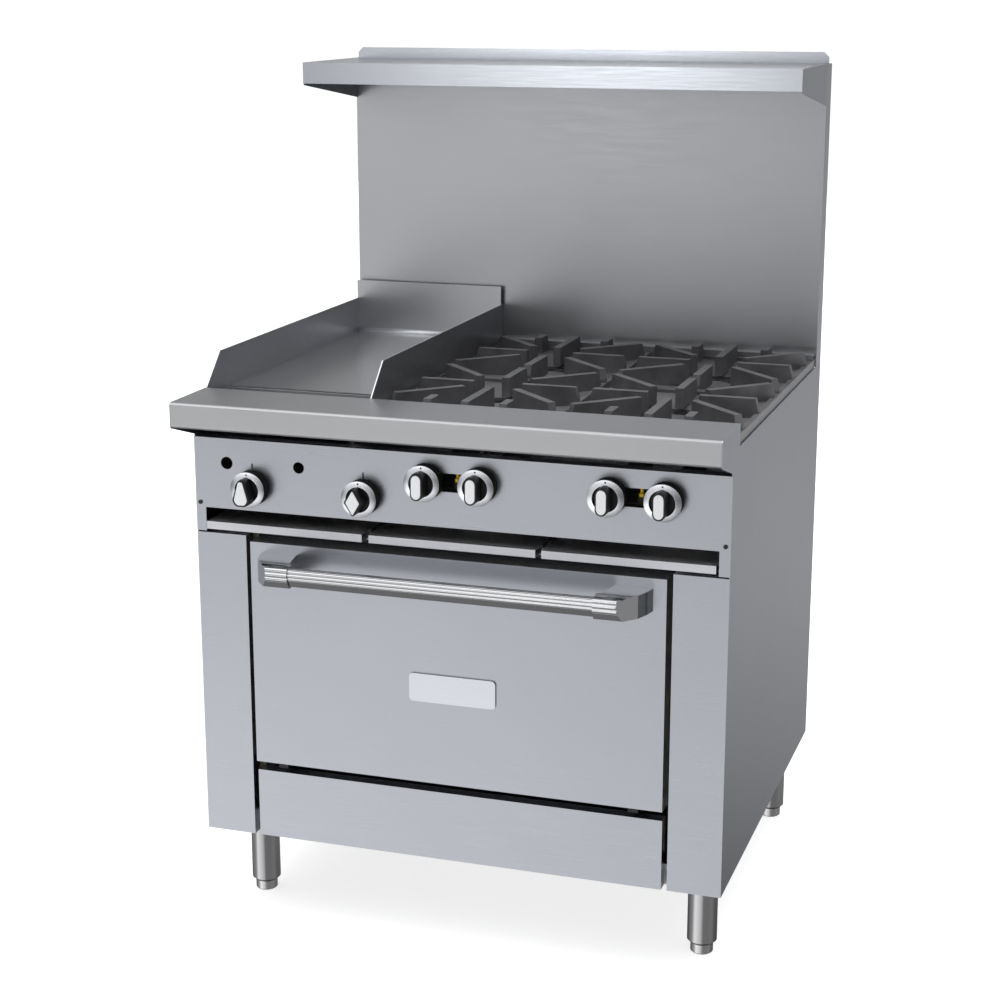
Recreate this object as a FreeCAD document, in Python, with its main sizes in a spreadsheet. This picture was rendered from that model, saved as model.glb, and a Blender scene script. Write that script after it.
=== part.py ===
"""Commercial gas range: griddle, four open burners, oven with a drop-down door and a high shelf.

Millimetres, +Z up, the front towards -Y and the back towards +Y.  Every size in the sheet is
measured from the control panel's face (Y = 0) and the floor (Z = 0).  Each sub-part's Placement
then moves it by frame_shift, so that the origin lies on the floor under the middle of the range.
"""
import FreeCAD, Part
import math
import os

import Sketcher

Vector = FreeCAD.Vector
Rotation = FreeCAD.Rotation

SIZES = (
    # Outside of the range
    ("half_width", 450, "half the overall width"),
    ("rear_face", 781, "back of the range"),
    ("rail_front", -82, "front of the plate rail"),
    ("body_bottom", 154, "underside of the body, top of the legs"),
    ("sheet", 1.5, "skin thickness"),
    ("slack", 0.1, "gap between neighbouring skins"),
    # Side panels
    ("side_top", 882.4, "top edge of a side panel"),
    ("rail_top", 918, "top of the plate rail"),
    ("rail_rear", 47.5, "rear edge of the plate rail"),
    ("nosing_bottom", 876, "bottom edge of the rail's nosing"),
    ("wing_heel", 850, "height at which the wing leaves the panel"),
    # Plate rail
    ("rail_bend", 5, "outer radius of the nosing's bends"),
    ("rail_return", 20, "depth of the lip under the nosing"),
    ("rail_rear_drop", 30, "height of the flange at the rail's back"),
    # Control panel
    ("panel_bottom", 686.5, "bottom of the control panel"),
    ("panel_top", 845.6, "top of the control panel"),
    ("panel_depth", 25, "depth of the panel's flanges"),
    ("slot_half", 432.5, "half the width of the tray opening"),
    ("slot_top", 727, "top of the tray opening"),
    ("knob_reach", 9, "radius of the hole round a stem"),
    ("view_slot_half", 33, "half the width of a pilot opening"),
    ("view_slot_low", 785.5, "bottom of a pilot opening"),
    ("view_slot_high", 816, "top of a pilot opening"),
    ("left_hole_x", -392, "lighter hole by the griddle knob"),
    ("left_hole_z", 804.6, "height of that hole"),
    ("left_hole_radius", 10.5, "radius of that hole"),
    ("middle_hole_x", -264, "lighter hole by the oven knob"),
    ("middle_hole_z", 805.8, "height of that hole"),
    ("middle_hole_radius", 9.6, "radius of that hole"),
    ("screw_x", 442, "panel screw, from the middle"),
    ("screw_z", 735, "height of a panel screw"),
    ("screw_radius", 2, "shank of a panel screw"),
    ("screw_head", 3.6, "head radius of a panel screw"),
    ("screw_length", 6, "length of a panel screw under its head"),
    # Lower front
    ("cover_inner", 361.5, "inner edge of a lower cover"),
    ("cover_top", 684, "top of a lower cover"),
    ("cover_depth", 21.5, "depth of the lower covers and kick panel"),
    ("kick_half", 352, "half the width of the kick panel"),
    ("kick_top", 273, "top of the kick panel"),
    # Base, back
    ("base_front", 21.6, "front of the base pan"),
    ("base_height", 36, "height of the base pan's rim"),
    ("base_wall", 2, "thickness of the base pan"),
    ("back_inner", 756, "inside face of the lower back panel"),
    ("back_top", 866, "top of the lower back panel"),
    # Legs and feet
    ("leg_x", 397, "leg centre, from the middle"),
    ("leg_front", 115, "centre of the front legs"),
    ("leg_rear", 718, "centre of the rear legs"),
    ("leg_radius", 25, "outer radius of a leg"),
    ("leg_neck", 19.5, "radius at the bottom of the leg's taper"),
    ("leg_taper_top", 22.5, "where the leg starts to taper"),
    ("leg_bottom", 17, "bottom of the leg"),
    ("leg_bore", 8.05, "radius of the leg's socket"),
    ("leg_bore_top", 95, "blind end of the leg's socket"),
    ("foot_radius", 19, "radius of an adjustable foot"),
    ("foot_chamfer", 2, "chamfer at the floor"),
    ("foot_stem", 8, "radius of the foot's stem"),
    ("foot_stem_top", 90, "top of the foot's stem"),
    # Backguard and shelf
    ("guard_front", 733.5, "front of the backguard"),
    ("guard_bottom", 882.5, "bottom of the backguard"),
    ("guard_top", 1427.4, "top of the backguard"),
    ("vent_count", 9, "vent slots in the backguard's rear cover"),
    ("vent_pitch", 80, "distance between vent slots"),
    ("vent_half", 27, "half the width of a vent slot"),
    ("vent_height", 8, "height of a vent slot"),
    ("vent_z", 1380, "bottom of the upper vent slots"),
    ("vent_rows", 3, "rows of vent slots"),
    ("vent_row_pitch", 18, "distance between the rows"),
    ("shelf_front", 480, "front of the high shelf"),
    ("shelf_top", 1429, "top face of the high shelf"),
    ("shelf_nose_bottom", 1392, "bottom of the shelf's nosing"),
    ("shelf_hem", 14, "depth of the hem under the nosing"),
    ("lip_front", 746.5, "front of the lip behind the shelf"),
    ("lip_top", 1448, "top of the lip, the highest point"),
    ("lip_chamfer", 9, "cut at the lip's corners"),
    ("gusset_front_low", 1389, "front bottom corner of a gusset"),
    ("gusset_rear_low", 1355, "rear bottom corner of a gusset"),
    # Griddle
    ("griddle_left", -447.6, "left edge of the griddle plate"),
    ("griddle_right", -157.3, "right edge of the griddle plate"),
    ("griddle_front", 136, "front edge of the griddle plate"),
    ("griddle_rear", 719.4, "rear edge of the griddle plate"),
    ("griddle_top", 906, "cooking surface of the griddle"),
    ("griddle_plate_thick", 25, "thickness of the griddle plate"),
    ("griddle_rail", 8, "thickness of the rails that carry it"),
    ("splash_wall", 2, "thickness of the splash guard"),
    ("splash_right", -155, "outer face of the right splash guard"),
    ("splash_bottom", 884, "bottom of the splash guard"),
    ("splash_top", 970.5, "top of the splash guard's sides"),
    ("splash_front", 50, "front of the splash guard"),
    ("splash_slope", 104, "end of the slope at the front"),
    ("splash_rear", 732, "rear end of the splash guard's sides"),
    ("riser_front", 719.5, "front of the griddle's riser"),
    ("riser_top", 1005, "top of the griddle's riser"),
    ("trough_front", 50.2, "front of the grease trough"),
    ("trough_rear", 135.8, "rear of the grease trough"),
    ("trough_bottom", 868, "underside of the grease trough"),
    ("trough_top", 903, "rim of the grease trough"),
    ("trough_wall", 2, "thickness of the grease trough"),
    ("chute_x", -205, "centre of the grease chute"),
    ("chute_y", 105, "centre of the grease chute"),
    ("chute_radius", 14, "outer radius of the grease chute"),
    ("chute_bore", 12, "inner radius of the grease chute"),
    ("chute_bottom", 706, "lower end of the grease chute"),
    ("griddle_burner_radius", 10, "radius of a griddle burner tube"),
    ("griddle_header_radius", 13, "radius of the header across its front"),
    ("griddle_inlet_radius", 12, "radius of its mixing tube"),
    ("griddle_burner_z", 845, "height of the griddle burner"),
    ("griddle_burner_left", -375, "left leg of the griddle burner"),
    ("griddle_burner_right", -232, "right leg of the griddle burner"),
    ("griddle_burner_rear", 690, "rear end of the griddle burner"),
    ("griddle_burner_front", 152, "front cross tube of the griddle burner"),
    # Open top
    ("top_left", -153.5, "left face of the cooktop frame"),
    ("top_right", 447, "right face of the cooktop frame"),
    ("top_front", 47.6, "front face of the cooktop frame"),
    ("top_rear", 733.4, "rear face of the cooktop frame"),
    ("top_bottom", 872, "bottom of the cooktop frame"),
    ("top_rim", 897, "rim of the cooktop frame"),
    ("top_wall", 2, "thickness of the cooktop frame"),
    ("ledge_top", 884, "ledge that carries the grates"),
    ("ledge_width", 14, "width of that ledge"),
    ("back_ledge_front", 714.6, "front of the strip behind the grates"),
    ("back_ledge_top", 907, "top of the strip behind the grates"),
    # Grates
    ("grate_left_x", 1, "centre of the left grates and burners"),
    ("grate_right_x", 302, "centre of the right grates and burners"),
    ("burner_front_y", 230, "centre of the front burners"),
    ("grate_seam", 381.5, "line between the front and rear grates"),
    ("grate_seam_gap", 1, "half the gap at that line"),
    ("grate_half", 142.8, "half the width of a grate"),
    ("grate_front_y", 50.2, "front edge of a front grate"),
    ("grate_top", 921, "top of the grate's bars"),
    ("grate_rim", 897, "top of the grate's rim"),
    ("grate_rim_wall", 8, "thickness of the grate's rim"),
    ("grate_bar", 13.5, "width of a bar"),
    ("grate_bar_bottom", 887, "underside of a bar"),
    ("grate_bar_drop", 18, "fall of a bar's top at its outer end"),
    ("grate_bar_slope", 5, "length over which it falls"),
    ("grate_hole", 60, "radius of the hole over the burner"),
    ("grate_reach_x", 43, "centre to the inner end of a side bar"),
    ("grate_reach_y", 40, "centre to the inner end of a front or rear bar"),
    ("grate_reach_diagonal", 64, "centre to the inner end of a corner bar"),
    ("grate_end_x", 140.4, "centre to the outer end of a side bar"),
    ("grate_end_diagonal", 193.5, "centre to the outer end of a corner bar"),
    ("grate_end_seam", 143, "centre to the outer end of the bar at the seam"),
    ("grate_end_front", 175.5, "centre to the outer end of the front bar"),
    ("grate_stub_x", 64, "centre line of a short bar"),
    ("grate_stub_start", 131, "centre to the inner end of a short bar"),
    ("bowl_low", 877, "lowest point of the grate's bowl"),
    ("bowl_thick", 5, "thickness of the bowl"),
    ("bowl_high", 886.7, "underside of the bowl at its outer edge"),
    ("bowl_radius", 140, "outer radius of the bowl"),
    ("bowl_lap", 2, "overlap of the bowl and its corners"),
    # Burners
    ("burner_tube", 15, "radius of a burner's mixing tube"),
    ("burner_tube_z", 806, "height of the mixing tubes"),
    ("burner_tube_front", 92, "mouth of the mixing tubes"),
    ("burner_riser", 13, "radius of the riser into the head"),
    ("burner_riser_x", 43.5, "riser, from the burner's centre"),
    ("head_bottom", 832, "bottom of the burner head"),
    ("head_neck", 56.6, "radius of the head's underside"),
    ("head_radius", 58, "radius of the burner head"),
    ("head_cone_top", 850, "top of the head's cone"),
    ("head_top", 862, "seat of the burner cap"),
    ("cap_radius", 50, "radius of a burner cap"),
    ("cap_side", 10, "height of the cap's ported side"),
    ("cap_top_radius", 26, "radius of the cap's flat top"),
    ("cap_top", 880, "top of the burner cap"),
    ("cap_ports", 16, "ports round a burner cap"),
    ("cap_port_depth", 9, "depth of a port"),
    ("cap_port_width", 4, "width of a port"),
    ("cap_port_height", 6, "height of a port"),
    # Gas train
    ("manifold_y", 62, "axis of the gas manifold"),
    ("manifold_z", 783.5, "height of the gas manifold"),
    ("manifold_radius", 13, "radius of the gas manifold"),
    ("manifold_left", -400, "left end of the gas manifold"),
    ("feed_x", 412, "axis of the feed pipe to the back"),
    ("feed_rear", 700, "rear end of the feed pipe"),
    ("valve_half", 12, "half the width of a valve"),
    ("valve_front", 12, "front of a valve"),
    ("valve_rear", 46, "rear of a valve"),
    ("valve_bottom", 754, "bottom of a valve"),
    ("valve_top", 814, "top of a valve"),
    ("neck_radius", 7, "radius of the neck into the manifold"),
    ("neck_end", 52, "end of the neck, inside the manifold"),
    ("hood_radius", 6, "radius of the orifice hood"),
    ("hood_end", 80, "end of the orifice hood"),
    ("stem_radius", 4, "radius of a control stem"),
    ("stem_end", -20.4, "front end of a control stem"),
    ("thermostat_half", 24, "half the width of the thermostat"),
    ("thermostat_bottom", 742, "bottom of the thermostat"),
    ("thermostat_top", 800, "top of the thermostat"),
    ("pilot_offset", 3.5, "pilot valve, from the middle of its opening"),
    ("pilot_radius", 3, "radius of the pilot's adjusting barrel"),
    ("pilot_low", 800, "bottom of the barrel"),
    ("pilot_high", 815, "top of the barrel"),
    ("pilot_y", 16, "axis of the barrel"),
    ("pilot_nut", 5, "radius and height of the nut on the barrel"),
    ("pilot_block", 4.5, "half the width of the pilot valve's block"),
    ("regulator_radius", 30, "radius of the gas regulator"),
    ("regulator_rear", 735, "rear of the gas regulator"),
    ("inlet_radius", 13.335, "radius of the gas inlet"),
    ("inlet_bore", 10, "bore of the gas inlet"),
    ("inlet_neck", 12, "radius of the nipple in front of it"),
    ("inlet_start", 758, "front end of the gas inlet"),
    ("inlet_end", 780, "rear end of the gas inlet"),
    ("inlet_hole", 18, "hole for the inlet in the back panel"),
    # Knobs
    ("griddle_knob_x", -346.6, "axis of the griddle knob"),
    ("oven_knob_x", -151.6, "axis of the oven knob"),
    ("low_knob_z", 767, "height of the griddle and oven knobs"),
    ("burner_knob_z", 801, "height of the burner knobs"),
    ("knob_offset", 45, "burner knob, from the burner's centre"),
    ("knob_gap", 1, "gap between knob and panel"),
    ("knob_base_radius", 28, "radius of the knob's base"),
    ("knob_base_depth", 13, "front of the knob's base"),
    ("ring_radius", 30, "outer radius of the knob's ring"),
    ("ring_side", 20, "front of the ring's straight side"),
    ("ring_face", 25, "front of the ring"),
    ("ring_face_radius", 28, "outer radius of the ring's face"),
    ("dish_radius", 21.5, "radius of the knob's dish"),
    ("dish_depth", 21, "floor of the dish"),
    ("grip_front", 48, "front of the knob's grip"),
    ("knob_bore", 4.05, "radius of the knob's bore"),
    ("pill_half_width", 7.5, "half the width of a burner knob's grip"),
    ("pill_half_height", 19.7, "half the height of a burner knob's grip"),
    ("diamond_half_width", 13.2, "half the width of the oven knob's grip"),
    ("diamond_half_height", 20, "half the height of the oven knob's grip"),
    ("diamond_corner", 2.4, "radius of that grip's corners"),
    ("drop_half_width", 13, "half the width of the griddle knob's grip"),
    ("drop_top", 20, "top of the griddle knob's grip"),
    ("drop_tip", 4.5, "half the width near its top"),
    ("drop_shoulder", 12, "where its sides turn in below the axis"),
    ("drop_bottom", 18.5, "bottom of the griddle knob's grip"),
    # Trays
    ("tray_floor", 690, "underside of a tray"),
    ("tray_rim", 703, "rim of a tray"),
    ("tray_wall", 1.2, "thickness of a tray"),
    ("tray_front_depth", 42, "depth of a tray's hollow front"),
    ("tray_depth", 640, "depth of a tray"),
    ("grease_left", -432, "left side of the grease drawer"),
    ("grease_right", -156, "right side of the grease drawer"),
    ("centre_left", -144, "left side of the centre tray"),
    ("centre_right", 138, "right side of the centre tray"),
    ("right_left", 148, "left side of the right tray"),
    ("right_right", 428, "right side of the right tray"),
    ("tray_shelf_top", 689.7, "sheet that the trays slide on"),
    ("tray_shelf_front", 26, "front of that sheet"),
    ("tray_shelf_rear", 688, "rear of that sheet"),
    ("guide_half", 2, "half the width of a guide between trays"),
    ("guide_top", 700, "top of a guide"),
    # Oven
    ("oven_half", 330, "half the width of the oven cavity"),
    ("oven_front", 43.5, "front face of the oven frame"),
    ("oven_rear", 650, "rear of the oven cavity"),
    ("oven_low", 200, "floor of the burner box"),
    ("oven_top", 648, "top of the oven cavity"),
    ("mouth_low", 318, "bottom of the oven mouth"),
    ("frame_half", 358, "half the width of the oven frame"),
    ("frame_top", 686, "top of the oven frame"),
    ("deck_thick", 3, "thickness of the oven deck"),
    ("deck_ledge", 20, "width of the ledges under the deck"),
    ("insulation_half", 371, "half the width of the insulation"),
    ("insulation_rear", 688, "rear of the insulation"),
    ("insulation_top", 687.9, "top of the insulation"),
    ("flue_half", 60, "half the width of the flue's inlet"),
    ("flue_low", 600, "bottom of the flue's inlet"),
    ("flue_high", 636, "top of the flue's inlet"),
    ("stack_half", 120, "half the width of the flue's stack"),
    ("stack_front", 700, "front of the lower stack"),
    ("stack_rear", 754, "rear of the stack"),
    ("stack_low", 585, "bottom of the stack"),
    ("stack_step", 866, "height at which the stack narrows"),
    ("stack_upper_front", 736, "front of the upper stack"),
    ("stack_top", 960, "top of the stack"),
    ("oven_burner_radius", 14, "radius of the oven burner"),
    ("oven_burner_z", 250, "height of the oven burner"),
    ("oven_burner_front", 70, "front end of the oven burner"),
    ("oven_burner_rear", 600, "rear end of the oven burner"),
    ("oven_burner_foot", 20, "half the width of the burner's supports"),
    ("runner_inner", 316, "inner edge of a rack runner"),
    ("runner_post", 327, "inner face of the runner's posts"),
    ("runner_front", 60, "front end of the runners"),
    ("runner_rear", 640, "rear end of the runners"),
    ("runner_first", 430, "underside of the lowest runner"),
    ("runner_pitch", 70, "distance between runners"),
    ("runner_count", 3, "runners on each side"),
    ("runner_thick", 3, "thickness of a runner"),
    ("post_half", 6, "half the width of a runner's post"),
    ("post_inset", 60, "post, from the runner's end"),
    ("rack_half", 323, "half the width of the oven rack"),
    ("rack_front", 80, "front of the oven rack"),
    ("rack_rear", 632, "rear of the oven rack"),
    ("rack_wire", 3.5, "radius of the rack's frame wire"),
    ("rack_bar", 2, "radius of the rack's cross wires"),
    ("rack_lift", 0.3, "rack above its runner"),
    ("rack_bars", 19, "cross wires of the rack"),
    # Door
    ("door_half", 352.5, "half the width of the door"),
    ("door_bottom", 289.5, "bottom of the door"),
    ("door_top", 675.5, "top of the door"),
    ("door_front", -4, "front of the door"),
    ("door_skin_rear", 40.8, "rear edge of the door's outer pan"),
    ("door_liner_rear", 42.4, "rear face of the door's liner"),
    ("plug_half", 322, "half the width of the liner's plug"),
    ("plug_low", 326, "bottom of the plug"),
    ("plug_high", 634, "top of the plug"),
    ("plug_rear", 50, "rear face of the plug"),
    ("padding_inset", 5, "insulation, from the door's edges"),
    ("hinge_y", 2, "axis of the door's hinges"),
    ("hinge_z", 284, "height of the door's hinges"),
    ("hinge_x", 304, "middle of a hinge"),
    ("pin_radius", 3, "radius of a hinge pin"),
    ("eye_bore", 3.05, "radius of a bracket's bore"),
    ("eye_radius", 4.8, "radius of a bracket's eye"),
    ("eye_half", 4, "half the width of a bracket"),
    ("arm_half", 3.5, "half the height of a bracket's arm"),
    ("lug_gap", 0.3, "gap between bracket and lug"),
    ("lug_thick", 4, "thickness of a lug"),
    ("badge_half_width", 74, "half the width of the badge"),
    ("badge_half_height", 24, "half the height of the badge"),
    ("badge_z", 455, "centre of the badge"),
    ("badge_thick", 3, "thickness of the badge"),
    ("badge_corner", 7, "radius of the badge's corners"),
    ("bar_half", 254, "half the length of the handle bar"),
    ("bar_front", -77.5, "front of the handle bar behind its ribs"),
    ("bar_back", -67, "back of the handle bar"),
    ("bar_low", 625.5, "bottom of the handle bar"),
    ("bar_high", 657, "top of the handle bar"),
    ("bar_brow", 6, "radius of the bar's upper front edge"),
    ("chin_height", 12, "height of the sloping chin under the ribs"),
    ("chin_depth", 7.5, "how far the chin runs back"),
    ("chin_round", 2.4, "radius between the chin and the underside"),
    ("rib_z", 646, "height of the middle rib"),
    ("rib_sink", 1.5, "how far the middle rib's centre lies inside the bar"),
    ("rib_step_back", 1, "how far the outer ribs lie behind the middle one"),
    ("rib_radius", 3.5, "radius of a rib of the bar"),
    ("rib_pitch", 5.8, "rib to rib on the bar"),
    ("cap_growth", 1.2, "how far the handle's ends stand out from the bar"),
    ("cap_rib_radius", 4.5, "radius of a rib of the handle's ends"),
    ("cap_rib_pitch", 7.4, "rib to rib on the handle's ends"),
    ("cap_low", 622.5, "bottom of the handle's ends"),
    ("cap_high", 659.5, "top of the handle's ends"),
    ("cap_brow", 18, "radius of the ends' upper front edge"),
    ("cap_end", 291, "outer end of the ribbed face"),
    ("arm_bend", 318.4, "outer side of the arm, half way to the door"),
    ("arm_curve", 327, "outer side of the arm, near the door"),
    ("arm_outer", 331, "outer side of the arm at the door"),
    ("arm_inner", 270, "inner side of the arm at the door"),
    ("arm_web", 261, "inner side of the arm behind the bar"),
    ("web_back", -51.5, "back of the end piece where its arm starts"),
    ("web_front", -57, "back of the end piece beside the bar"),
)


class Size:
    """A number together with the sheet expression that gives it."""

    def __init__(self, value, text):
        self.value = float(value)
        self.text = text

    def __add__(self, other):
        return combine(self, "+", other, self.value + number(other))

    def __radd__(self, other):
        return combine(other, "+", self, number(other) + self.value)

    def __sub__(self, other):
        return combine(self, "-", other, self.value - number(other))

    def __rsub__(self, other):
        return combine(other, "-", self, number(other) - self.value)

    def __mul__(self, other):
        return combine(self, "*", other, self.value * number(other))

    def __rmul__(self, other):
        return combine(other, "*", self, number(other) * self.value)

    def __truediv__(self, other):
        return combine(self, "/", other, self.value / number(other))

    def __neg__(self):
        return Size(-self.value, "-1 * " + self.text)


def number(size):
    return size.value if isinstance(size, Size) else float(size)


def text(size):
    return size.text if isinstance(size, Size) else format(size, ".9g")


def combine(left, sign, right, value):
    return Size(value, "({} {} {})".format(text(left), sign, text(right)))


class Sheet:
    """The sheet's cells as Size attributes, such as P.half_width."""


def fill_sheet():
    sheet = doc.addObject("Spreadsheet::Sheet", "Params")
    sizes = Sheet()
    for row, (alias, value, meaning) in enumerate(SIZES, start=1):
        sheet.set("A{}".format(row), str(value))
        sheet.setAlias("A{}".format(row), alias)
        sheet.set("B{}".format(row), meaning)
        setattr(sizes, alias, Size(value, "Params." + alias))
    return sizes


doc = FreeCAD.newDocument("gas_range")
P = fill_sheet()
frame_shift = (P.rear_face + P.rail_front) / 2
doc.recompute()
subparts = []
base_y = {}


# --- Building blocks -----------------------------------------------------------------------


def bind(obj, prop, size):
    obj.setExpression(prop, text(size))


def place(obj, x, y, z):
    for axis, size in zip("xyz", (x, y, z)):
        bind(obj, "Placement.Base." + axis, size)
    base_y[obj.Name] = y
    return obj


def box(name, xs, ys, zs):
    """A block between the low and high ends given for each axis."""
    solid = doc.addObject("Part::Box", name)
    for prop, (low, high) in zip(("Length", "Width", "Height"), (xs, ys, zs)):
        bind(solid, prop, high - low)
    return place(solid, xs[0], ys[0], zs[0])


def centred(middle, half):
    return middle - half, middle + half


AXIS_TURNS = {
    "x": Rotation(Vector(0, 1, 0), 90),
    "y": Rotation(Vector(1, 0, 0), -90),
    "z": Rotation(),
}


def rod(name, axis, start, length, radius):
    """A cylinder from start along +axis."""
    solid = doc.addObject("Part::Cylinder", name)
    solid.Placement.Rotation = AXIS_TURNS[axis]
    bind(solid, "Radius", radius)
    bind(solid, "Height", length)
    return place(solid, *start)


def cone(name, axis, start, length, first_radius, last_radius):
    solid = doc.addObject("Part::Cone", name)
    solid.Placement.Rotation = AXIS_TURNS[axis]
    bind(solid, "Radius1", first_radius)
    bind(solid, "Radius2", last_radius)
    bind(solid, "Height", length)
    return place(solid, *start)


def fuse(name, parts):
    whole = doc.addObject("Part::MultiFuse", name)
    whole.Shapes = parts
    return whole


def cut(name, base, tools):
    result = doc.addObject("Part::Cut", name)
    result.Base = base
    result.Tool = tools[0] if len(tools) == 1 else fuse(name + "_tools", tools)
    return result


def common(name, first, second):
    result = doc.addObject("Part::Common", name)
    result.Base = first
    result.Tool = second
    return result


def group(name, parts):
    """Separate solids kept together in one sub-part."""
    result = doc.addObject("Part::Compound", name)
    result.Links = parts
    return result


def moved(name, source, x, y, z):
    return place(group(name, [source]), x, y, z)


def mirrored(name, source, normal=(1, 0, 0), base=(0, 0, 0)):
    result = doc.addObject("Part::Mirroring", name)
    result.Source = source
    result.Normal = normal
    result.Base = base
    return result


def pan(name, xs, ys, zs, wall, open_side):
    """A sheet-metal box without the wall on open_side, such as "+y"."""
    outer = box(name + "_outer", xs, ys, zs)
    spans = {}
    for axis, (low, high) in zip("xyz", (xs, ys, zs)):
        spans[axis] = [low + wall, high - wall]
    sign, axis = open_side
    end = 1 if sign == "+" else 0
    spans[axis][end] = {"x": xs, "y": ys, "z": zs}[axis][end] + (wall if end else -1 * wall)
    inner = box(name + "_inner", spans["x"], spans["y"], spans["z"])
    return cut(name, outer, [inner])


def origin_plane(body, role):
    for feature in body.Origin.OriginFeatures:
        if feature.Role == role:
            return feature
    raise ValueError(role)


def outline(body, name, role, points, offset=0):
    """A closed polygon on one of the body's own planes, each corner tied to the sheet."""
    sketch = body.newObject("Sketcher::SketchObject", name)
    sketch.AttachmentSupport = [(origin_plane(body, role), "")]
    sketch.MapMode = "FlatFace"
    bind(sketch, "AttachmentOffset.Base.z", offset)
    corners = [Vector(number(u), number(v), 0) for u, v in points]
    count = len(corners)
    for index in range(count):
        sketch.addGeometry(Part.LineSegment(corners[index], corners[(index + 1) % count]), False)
    for index in range(count):
        joined = Sketcher.Constraint("Coincident", index, 2, (index + 1) % count, 1)
        sketch.addConstraint(joined)
    for index, point in enumerate(points):
        for kind, size in zip(("DistanceX", "DistanceY"), point):
            rule = Sketcher.Constraint(kind, -1, 1, index, 1, number(size))
            row = sketch.addConstraint(rule)
            bind(sketch, "Constraints[{}]".format(row), size)
    return sketch


def new_body(name):
    return doc.addObject("PartDesign::Body", name)


def pad(body, sketch, length, midplane=False):
    feature = body.newObject("PartDesign::Pad", sketch.Name + "_pad")
    feature.Profile = sketch
    feature.Midplane = midplane
    bind(feature, "Length", length)
    sketch.Visibility = False
    return feature


def revolve(body, sketch):
    feature = body.newObject("PartDesign::Revolution", sketch.Name + "_turn")
    feature.Profile = sketch
    feature.ReferenceAxis = (sketch, ["V_Axis"])
    feature.Angle = 360
    return feature


def extrusion(name, role, points, length, offset=0, midplane=False):
    """A body that is one padded polygon."""
    body = new_body(name)
    pad(body, outline(body, name + "_outline", role, points, offset), length, midplane)
    return body


def turned(name, points):
    """A body turned about Z from a profile of (radius, height) corners."""
    body = new_body(name)
    revolve(body, outline(body, name + "_profile", "XZ_Plane", points))
    return body


def round_edges(body, wanted, radius):
    """Round the edges of the body's tip whose curve wanted() accepts."""
    doc.recompute()
    tip = body.Tip
    names = []
    for index, edge in enumerate(tip.Shape.Edges, start=1):
        if wanted(edge):
            names.append("Edge{}".format(index))
    feature = body.newObject("PartDesign::Fillet", body.Name + "_round")
    feature.Base = (tip, names)
    bind(feature, "Radius", radius)
    body.Tip = feature
    return feature


def runs_along(direction):
    """A test for straight edges along one axis."""

    def test(edge):
        if edge.Curve.TypeId != "Part::GeomLine":
            return False
        return abs(abs(edge.tangentAt(edge.FirstParameter).dot(direction)) - 1) < 1e-6

    return test


def along_x_near(*places):
    """A test for straight X edges at the given (y, z) places."""
    straight = runs_along(Vector(1, 0, 0))

    def test(edge):
        if not straight(edge):
            return False
        point = edge.Vertexes[0].Point
        return any(math.hypot(point.y - number(y), point.z - number(z)) < 0.01 for y, z in places)

    return test


def subpart(label, obj):
    """Give the finished piece its own Label and Placement."""
    obj.Label = label
    bind(obj, "Placement.Base.y", base_y.get(obj.Name, 0) - frame_shift)
    subparts.append(obj)


def both_sides(name, right):
    """A piece and its mirror image as one sub-part."""
    return group(name, [mirrored(name + "_left", right), right])


def left_and_right(label, right):
    """A piece and its mirror image as two sub-parts."""
    mirror = mirrored(label + "_mirror", right)
    subpart(label + "_left", group(label + "_on_left", [mirror]))
    subpart(label + "_right", group(label + "_on_right", [right]))


# --- Body ----------------------------------------------------------------------------------


def side_panels():
    front = P.sheet + P.slack
    edge = (
        (front, P.body_bottom),
        (front, P.wing_heel),
        (0, P.wing_heel),
        (P.rail_front, P.nosing_bottom),
        (P.rail_front, P.rail_top),
        (P.rail_rear, P.rail_top),
        (P.rail_rear, P.side_top),
        (P.rear_face, P.side_top),
        (P.rear_face, P.body_bottom),
    )
    right = extrusion("side_blank", "YZ_Plane", edge, P.sheet, P.half_width - P.sheet)
    nose = along_x_near((P.rail_front, P.nosing_bottom), (P.rail_front, P.rail_top))
    round_edges(right, nose, P.rail_bend)
    left_and_right("side_panel", right)


def inner_half():
    """Half the room between the side panels."""
    return P.half_width - P.sheet - P.slack


def plate_rail():
    wall = P.sheet
    low, high = P.nosing_bottom, P.rail_top
    front, rear = P.rail_front, P.rail_rear
    edge = (
        (front, low),
        (front, high),
        (rear, high),
        (rear, high - P.rail_rear_drop),
        (rear - wall, high - P.rail_rear_drop),
        (rear - wall, high - wall),
        (front + wall, high - wall),
        (front + wall, low + wall),
        (front + P.rail_return, low + wall),
        (front + P.rail_return, low),
    )
    rail = extrusion("rail", "YZ_Plane", edge, 2 * inner_half(), 0, True)
    round_edges(rail, along_x_near((front, low), (front, high)), P.rail_bend)
    inside = along_x_near((front + wall, low + wall), (front + wall, high - wall))
    round_edges(rail, inside, P.rail_bend - wall)
    subpart("plate_rail", rail)


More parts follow.
